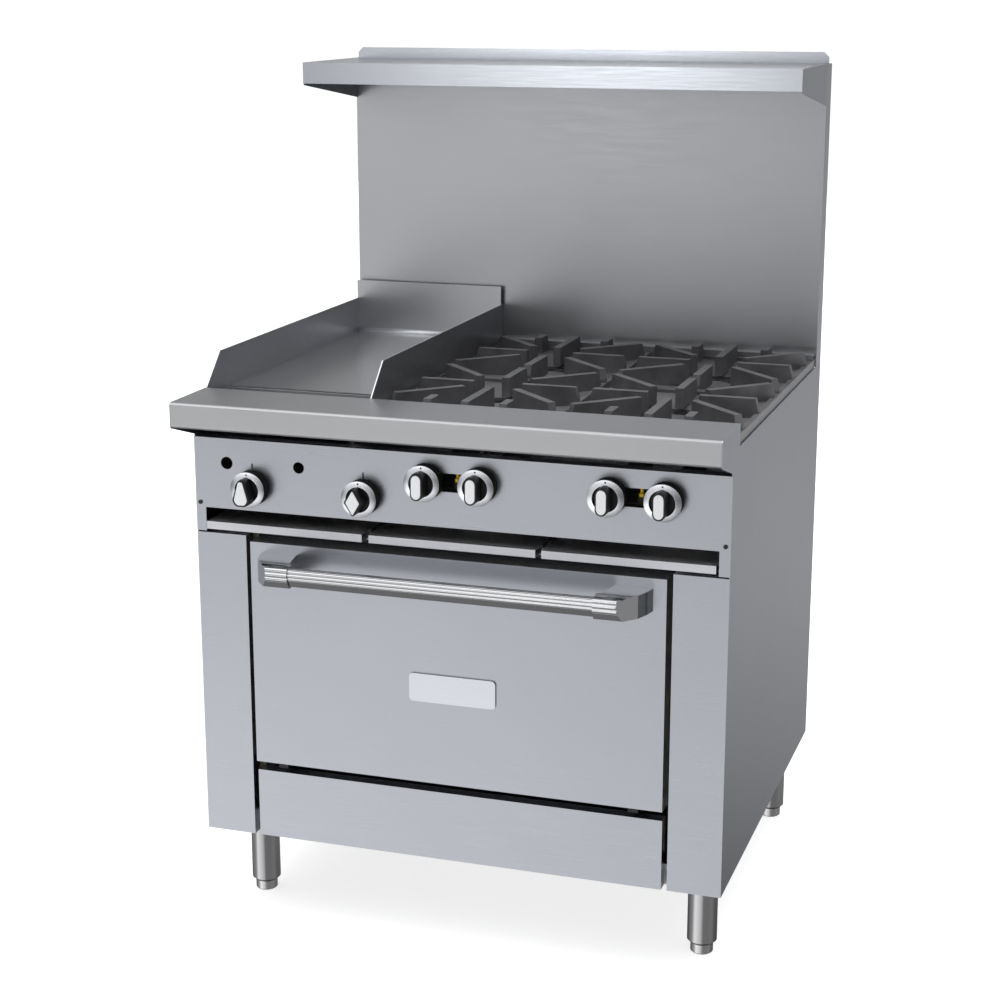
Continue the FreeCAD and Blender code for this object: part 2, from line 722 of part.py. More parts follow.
def control_panel():
    half = inner_half()
    flanges = pan(
        "panel_flanges",
        (-half, half),
        (0, P.panel_depth),
        (P.panel_bottom, P.panel_top),
        P.sheet,
        "+y",
    )
    face = box(
        "panel_face",
        (-P.half_width, P.half_width),
        (0, P.sheet),
        (P.panel_bottom, P.panel_top),
    )
    through = (-P.sheet, 2 * P.sheet)
    tools = [
        box(
            "tray_opening",
            (-P.slot_half, P.slot_half),
            (-P.sheet, P.panel_depth + P.sheet),
            (P.panel_bottom - P.sheet, P.slot_top),
        )
    ]
    for index, middle in enumerate((P.grate_left_x, P.grate_right_x)):
        span = centred(middle, P.view_slot_half)
        heights = (P.view_slot_low, P.view_slot_high)
        tools.append(box("pilot_opening_{}".format(index), span, through, heights))
    holes = [
        (P.left_hole_x, P.left_hole_z, P.left_hole_radius),
        (P.middle_hole_x, P.middle_hole_z, P.middle_hole_radius),
        (P.screw_x, P.screw_z, P.screw_radius),
        (-P.screw_x, P.screw_z, P.screw_radius),
    ]
    for x, z in knob_places().values():
        holes.append((x, z, P.knob_reach))
    for index, (x, z, radius) in enumerate(holes):
        hole = rod("panel_hole_{}".format(index), "y", (x, -P.sheet, z), 3 * P.sheet, radius)
        tools.append(hole)
    whole = fuse("panel_blank", [flanges, face])
    subpart("control_panel", cut("panel", whole, tools))


def panel_screws():
    screws = []
    for side, x in (("left", -P.screw_x), ("right", P.screw_x)):
        head = rod("screw_head_" + side, "y", (x, -P.sheet, P.screw_z), P.sheet, P.screw_head)
        shank_radius = P.screw_radius - P.slack / 2
        shank = rod("screw_shank_" + side, "y", (x, 0, P.screw_z), P.screw_length, shank_radius)
        screws.append(fuse("screw_" + side, [head, shank]))
    subpart("panel_screws", group("screws", screws))


def lower_covers():
    xs = (P.cover_inner, inner_half())
    zs = (P.body_bottom, P.cover_top)
    flanges = pan("cover_flanges", xs, (0, P.cover_depth), zs, P.sheet, "+y")
    face = box("cover_face", (P.cover_inner, P.half_width), (0, P.sheet), zs)
    left_and_right("lower_cover", fuse("cover_blank", [flanges, face]))


def kick_panel():
    xs = (-P.kick_half, P.kick_half)
    zs = (P.body_bottom, P.kick_top)
    subpart("kick_panel", pan("kick", xs, (0, P.cover_depth), zs, P.sheet, "+y"))


def base_frame():
    half = inner_half()
    ys = (P.base_front, P.back_inner - P.slack)
    zs = (P.body_bottom, P.body_bottom + P.base_height)
    subpart("base_frame", pan("base", (-half, half), ys, zs, P.base_wall, "+z"))


def back_panel():
    half = inner_half()
    ys = (P.back_inner, P.back_inner + P.sheet)
    plate = box("back_plate", (-half, half), ys, (P.body_bottom, P.back_top))
    start = (P.feed_x, P.back_inner - P.sheet, P.manifold_z)
    hole = rod("inlet_hole_tool", "y", start, 3 * P.sheet, P.inlet_hole)
    subpart("back_panel", cut("back", plate, [hole]))


def leg_places():
    places = {}
    for depth, y in (("front", P.leg_front), ("rear", P.leg_rear)):
        for side, x in (("left", -P.leg_x), ("right", P.leg_x)):
            places[depth + "_" + side] = (x, y)
    return places


def legs_and_feet():
    leg = turned(
        "leg_blank",
        (
            (P.leg_bore, P.leg_bottom),
            (P.leg_neck, P.leg_bottom),
            (P.leg_radius, P.leg_taper_top),
            (P.leg_radius, P.body_bottom),
            (0, P.body_bottom),
            (0, P.leg_bore_top),
            (P.leg_bore, P.leg_bore_top),
        ),
    )
    foot = turned(
        "foot_blank",
        (
            (0, 0),
            (P.foot_radius - P.foot_chamfer, 0),
            (P.foot_radius, P.foot_chamfer),
            (P.foot_radius, P.leg_bottom),
            (P.foot_stem, P.leg_bottom),
            (P.foot_stem, P.foot_stem_top),
            (0, P.foot_stem_top),
        ),
    )
    legs = []
    for name, (x, y) in leg_places().items():
        legs.append(moved("leg_" + name, leg, x, y, 0))
        subpart("foot_" + name, moved("adjustable_foot_" + name, foot, x, y, 0))
    subpart("legs", group("leg_set", legs))


# --- Backguard and shelf -------------------------------------------------------------------


def backguard():
    xs = (-P.half_width, P.half_width)
    rear = P.rear_face - P.sheet
    ys = (P.guard_front, rear - P.slack)
    outer = box("guard_outer", xs, ys, (P.guard_bottom, P.guard_top))
    inner = box(
        "guard_inner",
        (-P.half_width + P.sheet, P.half_width - P.sheet),
        (P.guard_front + P.sheet, P.rear_face),
        (P.guard_bottom - P.sheet, P.guard_top - P.sheet),
    )
    subpart("backguard_front", cut("guard", outer, [inner]))
    cover = box("guard_cover", xs, (rear, P.rear_face), (P.guard_bottom, P.guard_top))
    vents = []
    columns = int(P.vent_count.value)
    for column in range(columns):
        middle = P.vent_pitch * (column - (columns - 1) / 2)
        for row in range(int(P.vent_rows.value)):
            low = P.vent_z - P.vent_row_pitch * row
            name = "vent_{}_{}".format(column, row)
            span = centred(middle, P.vent_half)
            depth = (rear - P.sheet, P.rear_face + P.sheet)
            vents.append(box(name, span, depth, (low, low + P.vent_height)))
    subpart("backguard_rear", cut("guard_rear", cover, vents))


def high_shelf():
    wall = P.sheet
    rear = P.lip_front + wall
    edge = (
        (P.shelf_front, P.shelf_nose_bottom),
        (P.shelf_front, P.shelf_top),
        (P.lip_front, P.shelf_top),
        (P.lip_front, P.lip_top),
        (rear, P.lip_top),
        (rear, P.shelf_top - wall),
        (P.shelf_front + wall, P.shelf_top - wall),
        (P.shelf_front + wall, P.shelf_nose_bottom + wall),
        (P.shelf_front + P.shelf_hem, P.shelf_nose_bottom + wall),
        (P.shelf_front + P.shelf_hem, P.shelf_nose_bottom),
    )
    blank = extrusion("shelf_blank", "YZ_Plane", edge, 2 * P.half_width, 0, True)
    corners = []
    for side in (-1, 1):
        tip = side * P.half_width
        edge = (
            (tip, P.lip_top - P.lip_chamfer),
            (tip, P.lip_top + wall),
            (tip - side * P.lip_chamfer, P.lip_top + wall),
            (tip - side * P.lip_chamfer, P.lip_top),
        )
        name = "lip_corner_right" if side > 0 else "lip_corner_left"
        corners.append(extrusion(name, "XZ_Plane", edge, 2 * P.rear_face, 0, True))
    inner = inner_half()
    slots = []
    for side, xs in (("left", (-P.half_width - wall, -inner)), ("right", (inner, P.half_width + wall))):
        ys = (P.shelf_front + wall, P.guard_front)
        zs = (P.shelf_nose_bottom - wall, P.shelf_top - wall)
        slots.append(box("gusset_room_" + side, xs, ys, zs))
    subpart("high_shelf", cut("shelf", blank, corners + slots))
    front = P.shelf_front + wall + P.slack
    rear = P.guard_front - P.slack
    top = P.shelf_top - wall - P.slack
    edge = (
        (front, P.gusset_front_low),
        (rear, P.gusset_rear_low),
        (rear, top),
        (front, top),
    )
    gusset = extrusion("gusset_right", "YZ_Plane", edge, wall, P.half_width - wall)
    subpart("shelf_gussets", both_sides("gussets", gusset))


# --- Griddle -------------------------------------------------------------------------------


def griddle():
    plate = box(
        "griddle_slab",
        (P.griddle_left, P.griddle_right),
        (P.griddle_front, P.griddle_rear),
        (P.griddle_top - P.griddle_plate_thick, P.griddle_top),
    )
    subpart("griddle_plate", plate)


def splash_guard():
    edge = (
        (P.splash_front, P.splash_bottom),
        (P.splash_front, P.rail_top),
        (P.splash_slope, P.splash_top),
        (P.splash_rear, P.splash_top),
        (P.splash_rear, P.splash_bottom),
    )
    wall = P.splash_wall
    left_face = -P.half_width + P.slack
    left = extrusion("splash_left", "YZ_Plane", edge, wall, left_face)
    right = extrusion("splash_right_side", "YZ_Plane", edge, wall, P.splash_right - wall)
    xs = (left_face, P.splash_right)
    ys = (P.riser_front, P.riser_front + wall)
    riser = box("riser", xs, ys, (P.splash_bottom, P.riser_top))
    subpart("griddle_splash_guard", fuse("splash_guard", [left, right, riser]))


def grease_trough():
    xs = (P.griddle_left, P.griddle_right)
    ys = (P.trough_front, P.trough_rear)
    zs = (P.trough_bottom, P.trough_top)
    tub = pan("trough_tub", xs, ys, zs, P.trough_wall, "+z")
    floor = P.trough_bottom + P.trough_wall
    start = (P.chute_x, P.chute_y, P.chute_bottom)
    chute = rod("chute", "z", start, P.trough_bottom - P.chute_bottom, P.chute_radius)
    start = (P.chute_x, P.chute_y, P.chute_bottom - P.sheet)
    bore = rod("chute_hole", "z", start, floor - P.chute_bottom + 2 * P.sheet, P.chute_bore)
    subpart("grease_trough", cut("trough", fuse("trough_and_chute", [tub, chute]), [bore]))


def griddle_burner():
    radius = P.griddle_burner_radius
    wide = P.griddle_header_radius
    height = P.griddle_burner_z
    front = P.griddle_burner_front
    length = P.griddle_burner_rear - front
    tubes = []
    for side, x in (("left", P.griddle_burner_left), ("right", P.griddle_burner_right)):
        tubes.append(rod("griddle_tube_" + side, "y", (x, front, height), length, radius))
    start = (P.griddle_burner_left - wide, front, height)
    across = P.griddle_burner_right - P.griddle_burner_left + 2 * wide
    tubes.append(rod("griddle_header", "x", start, across, wide))
    start = (P.griddle_knob_x, front, P.burner_tube_z)
    tubes.append(rod("griddle_riser_tube", "z", start, height - P.burner_tube_z, radius))
    start = (P.griddle_knob_x, P.burner_tube_front, P.burner_tube_z)
    reach = front + wide - P.burner_tube_front
    tubes.append(rod("griddle_inlet_tube", "y", start, reach, P.griddle_inlet_radius))
    subpart("griddle_burner", fuse("griddle_burner_tubes", tubes))


# --- Open top ------------------------------------------------------------------------------


def cooktop_frame():
    wall = P.top_wall
    xs = (P.top_left, P.top_right)
    ys = (P.top_front, P.top_rear)
    ring = box("top_ring", xs, ys, (P.top_bottom, P.top_rim))
    inside = box(
        "top_inside",
        (P.top_left + wall, P.top_right - wall),
        (P.top_front + wall, P.top_rear - wall),
        (P.top_bottom - wall, P.top_rim + wall),
    )
    walls = cut("top_walls", ring, [inside])
    ledge_low = P.ledge_top - wall
    ledge = box("top_ledge", xs, ys, (ledge_low, P.ledge_top))
    seam_y = P.grate_seam
    seam_x = (P.grate_left_x + P.grate_right_x) / 2
    halves_x = ((P.top_left, seam_x), (seam_x, P.top_right))
    halves_y = ((P.top_front, seam_y), (seam_y, P.back_ledge_front))
    wells = []
    width = P.ledge_width
    for row, (y_low, y_high) in enumerate(halves_y):
        for column, (x_low, x_high) in enumerate(halves_x):
            name = "well_{}_{}".format(row, column)
            xs_well = (x_low + width, x_high - width)
            ys_well = (y_low + width, y_high - width)
            wells.append(box(name, xs_well, ys_well, (ledge_low - wall, P.ledge_top + wall)))
    seats = cut("top_seats", ledge, wells)
    strip_top = box(
        "strip_top",
        xs,
        (P.back_ledge_front, P.top_rear),
        (P.back_ledge_top - wall, P.back_ledge_top),
    )
    strip_front = box(
        "strip_front",
        xs,
        (P.back_ledge_front, P.back_ledge_front + wall),
        (ledge_low, P.back_ledge_top),
    )
    rails = []
    depths = (("front", P.griddle_front + wall), ("rear", P.griddle_rear - 2 * P.griddle_rail))
    for depth, y in depths:
        zs = (P.top_bottom, P.griddle_top - P.griddle_plate_thick)
        span = (P.griddle_left, P.top_left + wall)
        rails.append(box("griddle_rail_" + depth, span, (y, y + P.griddle_rail), zs))
    pieces = [walls, seats, strip_top, strip_front] + rails
    subpart("cooktop_frame", fuse("top_frame", pieces))


def spoke(name, centre, angle, start, end, width, zs):
    """A straight bar that runs out from the centre at an angle."""
    solid = doc.addObject("Part::Box", name)
    solid.Placement.Rotation = Rotation(Vector(0, 0, 1), angle)
    bind(solid, "Length", end - start)
    bind(solid, "Width", width)
    bind(solid, "Height", zs[1] - zs[0])
    along = (round(math.cos(math.radians(angle)), 9), round(math.sin(math.radians(angle)), 9))
    x = centre[0] + start * along[0] + width * along[1] / 2
    y = centre[1] + start * along[1] - width * along[0] / 2
    return place(solid, x, y, zs[0])


def grate_bar(name, centre, angle, start, end):
    """A bar that runs out from the centre at an angle and slopes down at its outer end."""
    low, high = P.grate_bar_bottom, P.grate_top
    edge = (
        (start, low),
        (end, low),
        (end, high - P.grate_bar_drop),
        (end - P.grate_bar_slope, high),
        (start, high),
    )
    bar = moved(name, extrusion(name + "_bar", "XZ_Plane", edge, P.grate_bar, 0, True), *centre, 0)
    bar.Placement.Rotation = Rotation(Vector(0, 0, 1), angle)
    return bar


def grate_bowl(x, y, xs, ys):
    """The shallow bowl under the bars, with its round hole over the burner."""
    profile = (
        (P.grate_hole, P.bowl_low),
        (P.bowl_radius, P.bowl_high),
        (P.bowl_radius, P.bowl_high + P.bowl_thick),
        (P.grate_hole, P.bowl_low + P.bowl_thick),
    )
    bowl = moved("bowl", turned("bowl_ring", profile), x, y, 0)
    plate = box("bowl_plate", xs, ys, (P.bowl_high, P.bowl_high + P.bowl_thick))
    start = (x, y, P.bowl_high - P.bowl_thick)
    opening = rod("bowl_opening", "z", start, 3 * P.bowl_thick, P.bowl_radius - P.bowl_lap)
    return [bowl, cut("bowl_corners", plate, [opening])]


def first_grate():
    """The front left grate; the others are copies of it."""
    x, y = P.grate_left_x, P.burner_front_y
    xs = centred(x, P.grate_half)
    ys = (P.grate_front_y, P.grate_seam - P.grate_seam_gap)
    wall = P.grate_rim_wall
    rim_block = box("rim_block", xs, ys, (P.ledge_top, P.grate_rim))
    rim_inside = box(
        "rim_inside",
        (xs[0] + wall, xs[1] - wall),
        (ys[0] + wall, ys[1] - wall),
        (P.ledge_top - wall, P.grate_rim + wall),
    )
    inner_xs = (xs[0] + wall / 2, xs[1] - wall / 2)
    inner_ys = (ys[0] + wall / 2, ys[1] - wall / 2)
    pieces = [cut("rim", rim_block, [rim_inside])] + grate_bowl(x, y, inner_xs, inner_ys)
    reaches = {
        0: (P.grate_reach_x, P.grate_end_x),
        90: (P.grate_reach_y, P.grate_end_seam),
        180: (P.grate_reach_x, P.grate_end_x),
        270: (P.grate_reach_y, P.grate_end_front),
    }
    for corner in (45, 135, 225, 315):
        reaches[corner] = (P.grate_reach_diagonal, P.grate_end_diagonal)
    for angle, (start, end) in reaches.items():
        pieces.append(grate_bar("spoke_{}".format(angle), (x, y), angle, start, end))
    for side, stub_x in (("left", x - P.grate_stub_x), ("right", x + P.grate_stub_x)):
        ends = (P.grate_stub_start, P.grate_end_front)
        pieces.append(grate_bar("stub_" + side, (stub_x, y), 270, *ends))
    return fuse("grate_casting", pieces)


def grates():
    front = first_grate()
    seam = number(P.grate_seam)
    rear = mirrored("grate_turned", front, (0, 1, 0), (0, seam, 0))
    pitch = P.grate_right_x - P.grate_left_x
    for depth, source in (("front", front), ("rear", rear)):
        for side, shift in (("left", 0), ("right", pitch)):
            name = "grate_{}_{}".format(depth, side)
            subpart(name, moved("casting_{}_{}".format(depth, side), source, shift, 0, 0))


def burner_places():
    """Centre of each open burner and the side on which its mixing tube runs."""
    rear = 2 * P.grate_seam - P.burner_front_y
    places = {}
    for side, x in (("left", P.grate_left_x), ("right", P.grate_right_x)):
        places["front_" + side] = (x, P.burner_front_y, -1)
        places["rear_" + side] = (x, rear, 1)
    return places


def burner_base(name, x, y, side):
    tube_x = x + side * P.knob_offset
    riser_x = x + side * P.burner_riser_x
    start = (tube_x, P.burner_tube_front, P.burner_tube_z)
    tube = rod("tube_" + name, "y", start, y - P.burner_tube_front, P.burner_tube)
    riser_height = P.head_cone_top - P.burner_tube_z
    riser = rod("riser_" + name, "z", (riser_x, y, P.burner_tube_z), riser_height, P.burner_riser)
    cone_height = P.head_cone_top - P.head_bottom
    neck = (x, y, P.head_bottom)
    low_head = cone("head_cone_" + name, "z", neck, cone_height, P.head_neck, P.head_radius)
    head_height = P.head_top - P.head_cone_top
    head = rod("head_" + name, "z", (x, y, P.head_cone_top), head_height, P.head_radius)
    return fuse("burner_base_" + name, [tube, riser, low_head, head])


def burner_cap():
    """One cap at the origin: a ported ring under a low cone."""
    side_top = P.head_top + P.cap_side
    ring = rod("cap_ring", "z", (0, 0, P.head_top), P.cap_side, P.cap_radius)
    top_height = P.cap_top - side_top
    top = cone("cap_cone", "z", (0, 0, side_top), top_height, P.cap_radius, P.cap_top_radius)
    ports = []
    count = int(P.cap_ports.value)
    low = P.head_top + P.cap_port_width / 2
    for index in range(count):
        angle = 360 / count * index
        start = P.cap_radius - P.cap_port_depth
        end = P.cap_radius + P.cap_port_depth
        zs = (low, low + P.cap_port_height)
        ports.append(spoke("port_{}".format(index), (0, 0), angle, start, end, P.cap_port_width, zs))
    return cut("cap", fuse("cap_blank", [ring, top]), ports)


def open_burners():
    cap = burner_cap()
    bases = []
    caps = []
    for name, (x, y, side) in burner_places().items():
        bases.append(burner_base(name, x, y, side))
        caps.append(moved("cap_" + name, cap, x, y, 0))
    subpart("burner_bases", group("bases", bases))
    subpart("burner_caps", group("caps", caps))


# --- Gas train -----------------------------------------------------------------------------


def knob_places():
    """Axis of every knob in the panel, as (x, z)."""
    places = {
        "griddle": (P.griddle_knob_x, P.low_knob_z),
        "oven": (P.oven_knob_x, P.low_knob_z),
    }
    for side, x in (("left", P.grate_left_x), ("right", P.grate_right_x)):
        places["front_" + side] = (x - P.knob_offset, P.burner_knob_z)
        places["rear_" + side] = (x + P.knob_offset, P.burner_knob_z)
    return places


def stem(name, x, z):
    return rod("stem_" + name, "y", (x, P.stem_end, z), P.valve_front - P.stem_end, P.stem_radius)


def neck(name, x):
    start = (x, P.valve_rear, P.manifold_z)
    return rod("neck_" + name, "y", start, P.neck_end - P.valve_rear, P.neck_radius)


def gas_manifold():
    right = P.feed_x
    start = (P.manifold_left, P.manifold_y, P.manifold_z)
    cross = rod("manifold_tube", "x", start, right - P.manifold_left, P.manifold_radius)
    start = (right, P.manifold_y - P.manifold_radius, P.manifold_z)
    length = P.feed_rear - P.manifold_y + P.manifold_radius
    feed = rod("feed_tube", "y", start, length, P.manifold_radius)
    subpart("gas_manifold", fuse("manifold", [cross, feed]))


def gas_valves():
    valves = []
    ys = (P.valve_front, P.valve_rear)
    for name, (x, z) in knob_places().items():
        if name == "oven":
            continue
        block = box("valve_block_" + name, centred(x, P.valve_half), ys, (P.valve_bottom, P.valve_top))
        start = (x, P.valve_rear, P.burner_tube_z)
        hood = rod("hood_" + name, "y", start, P.hood_end - P.valve_rear, P.hood_radius)
        valves.append(fuse("valve_" + name, [block, hood, stem(name, x, z), neck(name, x)]))
    subpart("gas_valves", group("valves", valves))


def oven_thermostat():
    x, z = knob_places()["oven"]
    ys = (P.valve_front, P.valve_rear)
    zs = (P.thermostat_bottom, P.thermostat_top)
    block = box("thermostat_block", centred(x, P.thermostat_half), ys, zs)
    subpart("oven_thermostat", fuse("thermostat", [block, stem("oven", x, z), neck("oven", x)]))


def pilot_valves():
    pilots = []
    radius = P.pilot_radius
    half = P.pilot_block
    for side, middle in (("left", P.grate_left_x), ("right", P.grate_right_x)):
        x = middle + P.pilot_offset
        start = (x, P.pilot_y, P.pilot_low)
        barrel = rod("pilot_barrel_" + side, "z", start, P.pilot_high - P.pilot_low, radius)
        nut = rod("pilot_nut_" + side, "z", start, P.pilot_nut, P.pilot_nut)
        zs = (P.manifold_z - half, P.pilot_low)
        block = box("pilot_block_" + side, centred(x, half), centred(P.pilot_y, half), zs)
        start = (x, P.pilot_y + half, P.manifold_z)
        run = rod("pilot_run_" + side, "y", start, P.neck_end - P.pilot_y - half, radius)
        pilots.append(fuse("pilot_" + side, [barrel, nut, block, run]))
    subpart("pilot_valves", group("pilots", pilots))


def gas_regulator():
    x, z = P.feed_x, P.manifold_z
    length = P.regulator_rear - P.feed_rear
    can = rod("regulator_can", "y", (x, P.feed_rear, z), length, P.regulator_radius)
    length = P.inlet_start - P.regulator_rear
    nipple = rod("regulator_nipple", "y", (x, P.regulator_rear, z), length, P.inlet_neck)
    length = P.inlet_end - P.inlet_start
    inlet = rod("inlet_pipe", "y", (x, P.inlet_start, z), length, P.inlet_radius)
    length = P.inlet_end - P.regulator_rear + P.sheet
    bore = rod("inlet_bore_tool", "y", (x, P.regulator_rear, z), length, P.inlet_bore)
    subpart("gas_regulator", cut("regulator", fuse("regulator_body", [can, nipple, inlet]), [bore]))


# --- Knobs ---------------------------------------------------------------------------------


def grip_outlines():
    """Corners of each grip, seen from the front, with the radius of its corners."""
    pill = []
    diamond = (
        (0, -P.diamond_half_height),
        (P.diamond_half_width, 0),
        (0, P.diamond_half_height),
        (-P.diamond_half_width, 0),
    )
    drop = (
        (-P.drop_half_width, -P.drop_shoulder),
        (-P.drop_half_width / 2, -P.drop_bottom),
        (P.drop_half_width / 2, -P.drop_bottom),
        (P.drop_half_width, -P.drop_shoulder),
        (P.drop_tip, P.drop_top),
        (-P.drop_tip, P.drop_top),
    )
    for side_x, side_z in ((-1, -1), (1, -1), (1, 1), (-1, 1)):
        pill.append((side_x * P.pill_half_width, side_z * P.pill_half_height))
    return {
        "pill": (pill, P.pill_half_width - P.slack),
        "diamond": (diamond, P.diamond_corner),
        "drop": (drop, P.drop_tip - P.slack),
    }


def knob_blank(shape, points, corner):
    """A knob on the Y axis: base, ring and dish turned in one, and a raised grip."""
    body = new_body("knob_" + shape)
    profile = (
        (P.knob_bore, -P.knob_gap),
        (P.knob_base_radius, -P.knob_gap),
        (P.knob_base_radius, -P.knob_base_depth),
        (P.ring_radius, -P.knob_base_depth),
        (P.ring_radius, -P.ring_side),
        (P.ring_face_radius, -P.ring_face),
        (P.dish_radius, -P.ring_face),
        (P.dish_radius, -P.dish_depth),
        (P.knob_bore, -P.dish_depth),
    )
    revolve(body, outline(body, "knob_profile_" + shape, "XY_Plane", profile))
    grip = new_body("grip_" + shape)
    sketch = outline(grip, "grip_outline_" + shape, "XZ_Plane", points, P.dish_depth)
    pad(grip, sketch, P.grip_front - P.dish_depth)
    round_edges(grip, runs_along(Vector(0, 1, 0)), corner)
    return fuse("knob_blank_" + shape, [body, grip])


def knobs():
    blanks = {}
    for shape, (points, corner) in grip_outlines().items():
        blanks[shape] = knob_blank(shape, points, corner)
    shapes = {"griddle": "drop", "oven": "diamond"}
    for name, (x, z) in knob_places().items():
        blank = blanks[shapes.get(name, "pill")]
        subpart("knob_" + name, moved("turning_knob_" + name, blank, x, 0, z))


# --- Trays ---------------------------------------------------------------------------------


def tray(name, left, right):
    wall = P.tray_wall
    block = box(name + "_block", (left, right), (0, P.tray_depth), (P.tray_floor, P.tray_rim))
    well = box(
        name + "_well",
        (left + wall, right - wall),
        (P.tray_front_depth, P.tray_depth - wall),
        (P.tray_floor + wall, P.tray_rim + wall),
    )
    tunnel = box(
        name + "_tunnel",
        (left - wall, right + wall),
        (wall, P.tray_front_depth - wall),
        (P.tray_floor + wall, P.tray_rim - wall),
    )
    subpart(name, cut(name + "_sheet", block, [well, tunnel]))


def trays():
    tray("grease_drawer", P.grease_left, P.grease_right)
    tray("drip_tray_center", P.centre_left, P.centre_right)
    tray("drip_tray_right", P.right_left, P.right_right)


def tray_shelf():
    half = inner_half()
    ys = (P.tray_shelf_front, P.tray_shelf_rear)
    plate = box("tray_plate", (-half, half), ys, (P.tray_shelf_top - P.sheet, P.tray_shelf_top))
    pieces = [plate]
    gaps = ((P.grease_right, P.centre_left), (P.centre_right, P.right_left))
    for index, (left, right) in enumerate(gaps):
        span = centred((left + right) / 2, P.guide_half)
        zs = (P.tray_shelf_top, P.guide_top)
        pieces.append(box("tray_guide_{}".format(index), span, ys, zs))
    subpart("tray_shelf", fuse("tray_support", pieces))


# --- Oven ----------------------------------------------------------------------------------


def oven_liner():
    wall = P.sheet
    half = P.oven_half
    front = P.oven_front + wall
    shell = pan(
        "liner_shell",
        (-half - wall, half + wall),
        (front, P.oven_rear + wall),
        (P.oven_low - wall, P.oven_top + wall),
        wall,
        "-y",
    )
    xs = (-P.frame_half, P.frame_half)
    frame = box("liner_frame", xs, (P.oven_front, front), (P.oven_low - wall, P.frame_top))
    mouth = box(
        "liner_mouth",
        (-half, half),
        (P.oven_front - wall, front + wall),
        (P.mouth_low, P.oven_top),
    )
    flue_hole = box(
        "liner_flue_hole",
        (-P.flue_half + wall, P.flue_half - wall),
        (P.oven_rear - wall, P.oven_rear + 2 * wall),
        (P.flue_low + wall, P.flue_high - wall),
    )
    deck_low = P.mouth_low - P.deck_thick
    ledges = []
    for side, xs in (("left", (-half, -half + P.deck_ledge)), ("right", (half - P.deck_ledge, half))):
        ledges.append(box("deck_ledge_" + side, xs, (front, P.oven_rear), (deck_low - wall, deck_low)))
    solid = cut("liner_body", fuse("liner_blank", [shell, frame]), [mouth, flue_hole])
    subpart("oven_liner", fuse("liner", [solid] + ledges))


def oven_deck():
    half = P.oven_half - P.slack
    ys = (P.oven_front + P.sheet + P.slack, P.oven_rear - P.slack)
    zs = (P.mouth_low - P.deck_thick, P.mouth_low)
    subpart("oven_deck", box("deck", (-half, half), ys, zs))


def oven_insulation():
    wall = P.sheet + P.slack
    half = P.insulation_half
    front = P.oven_front + P.sheet + P.slack
    depths = (front, P.insulation_rear)
    block = box("blanket_block", (-half, half), depths, (P.oven_low, P.insulation_top))
    room = box(
        "blanket_room",
        (-P.oven_half - wall, P.oven_half + wall),
        (front - wall, P.oven_rear + wall),
        (P.oven_low - wall, P.oven_top + wall),
    )
    flue_half = P.flue_half + wall
    passage = box(
        "blanket_flue",
        (-flue_half, flue_half),
        (P.oven_rear, P.insulation_rear + wall),
        (P.flue_low - wall, P.flue_high + wall),
    )
    subpart("oven_insulation", cut("blanket", block, [room, passage]))


def oven_flue():
    wall = P.sheet
    inlet_front = P.oven_rear + wall
    blocks = {
        "inlet": (P.flue_half, (inlet_front, P.stack_front), (P.flue_low, P.flue_high)),
        "stack": (P.stack_half, (P.stack_front, P.stack_rear), (P.stack_low, P.stack_step)),
        "upper": (P.stack_half, (P.stack_upper_front, P.stack_rear), (P.stack_step, P.stack_top)),
    }
    outer = []
    inner = []
    reach = {
        "inlet": ((-1, 1), (0, 0)),
        "stack": ((0, 0), (0, 0)),
        "upper": ((0, 0), (-2, 1)),
    }
    for name, (half, ys, zs) in blocks.items():
        outer.append(box("flue_" + name, (-half, half), ys, zs))
        (front, rear), (low, high) = reach[name]
        inner.append(
            box(
                "flue_room_" + name,
                (-half + wall, half - wall),
                (ys[0] + wall + 2 * front * wall, ys[1] - wall + 3 * rear * wall),
                (zs[0] + wall + 2 * low * wall, zs[1] - wall + 2 * high * wall),
            )
        )
    subpart("oven_flue", cut("flue", fuse("flue_blank", outer), inner))


def oven_burner():
    radius = P.oven_burner_radius
    start = (0, P.oven_burner_front, P.oven_burner_z)
    length = P.oven_burner_rear - P.oven_burner_front
    tube = rod("oven_tube", "y", start, length, radius)
    pieces = [tube]
    for depth, y in (("front", P.oven_burner_front), ("rear", P.oven_burner_rear - 2 * radius)):
        ys = (y + radius - P.sheet, y + radius + P.sheet)
        zs = (P.oven_low, P.oven_burner_z)
        half = P.oven_burner_foot
        pieces.append(box("oven_tube_support_" + depth, (-half, half), ys, zs))
    subpart("oven_burner", fuse("oven_burner_tube", pieces))


def rack_guides():
    pieces = []
    ys = (P.runner_front, P.runner_rear)
    wall_x = P.oven_half - P.slack
    for index in range(int(P.runner_count.value)):
        low = P.runner_first + P.runner_pitch * index
        xs = (P.runner_inner, wall_x)
        pieces.append(box("runner_{}".format(index), xs, ys, (low, low + P.runner_thick)))
    for depth, y in (("front", P.runner_front + P.post_inset), ("rear", P.runner_rear - P.post_inset)):
        zs = (P.mouth_low, P.runner_first + P.runner_pitch * P.runner_count)
        pieces.append(box("post_" + depth, (P.runner_post, wall_x), centred(y, P.post_half), zs))
    subpart("rack_guides", both_sides("guides", fuse("guide_right", pieces)))


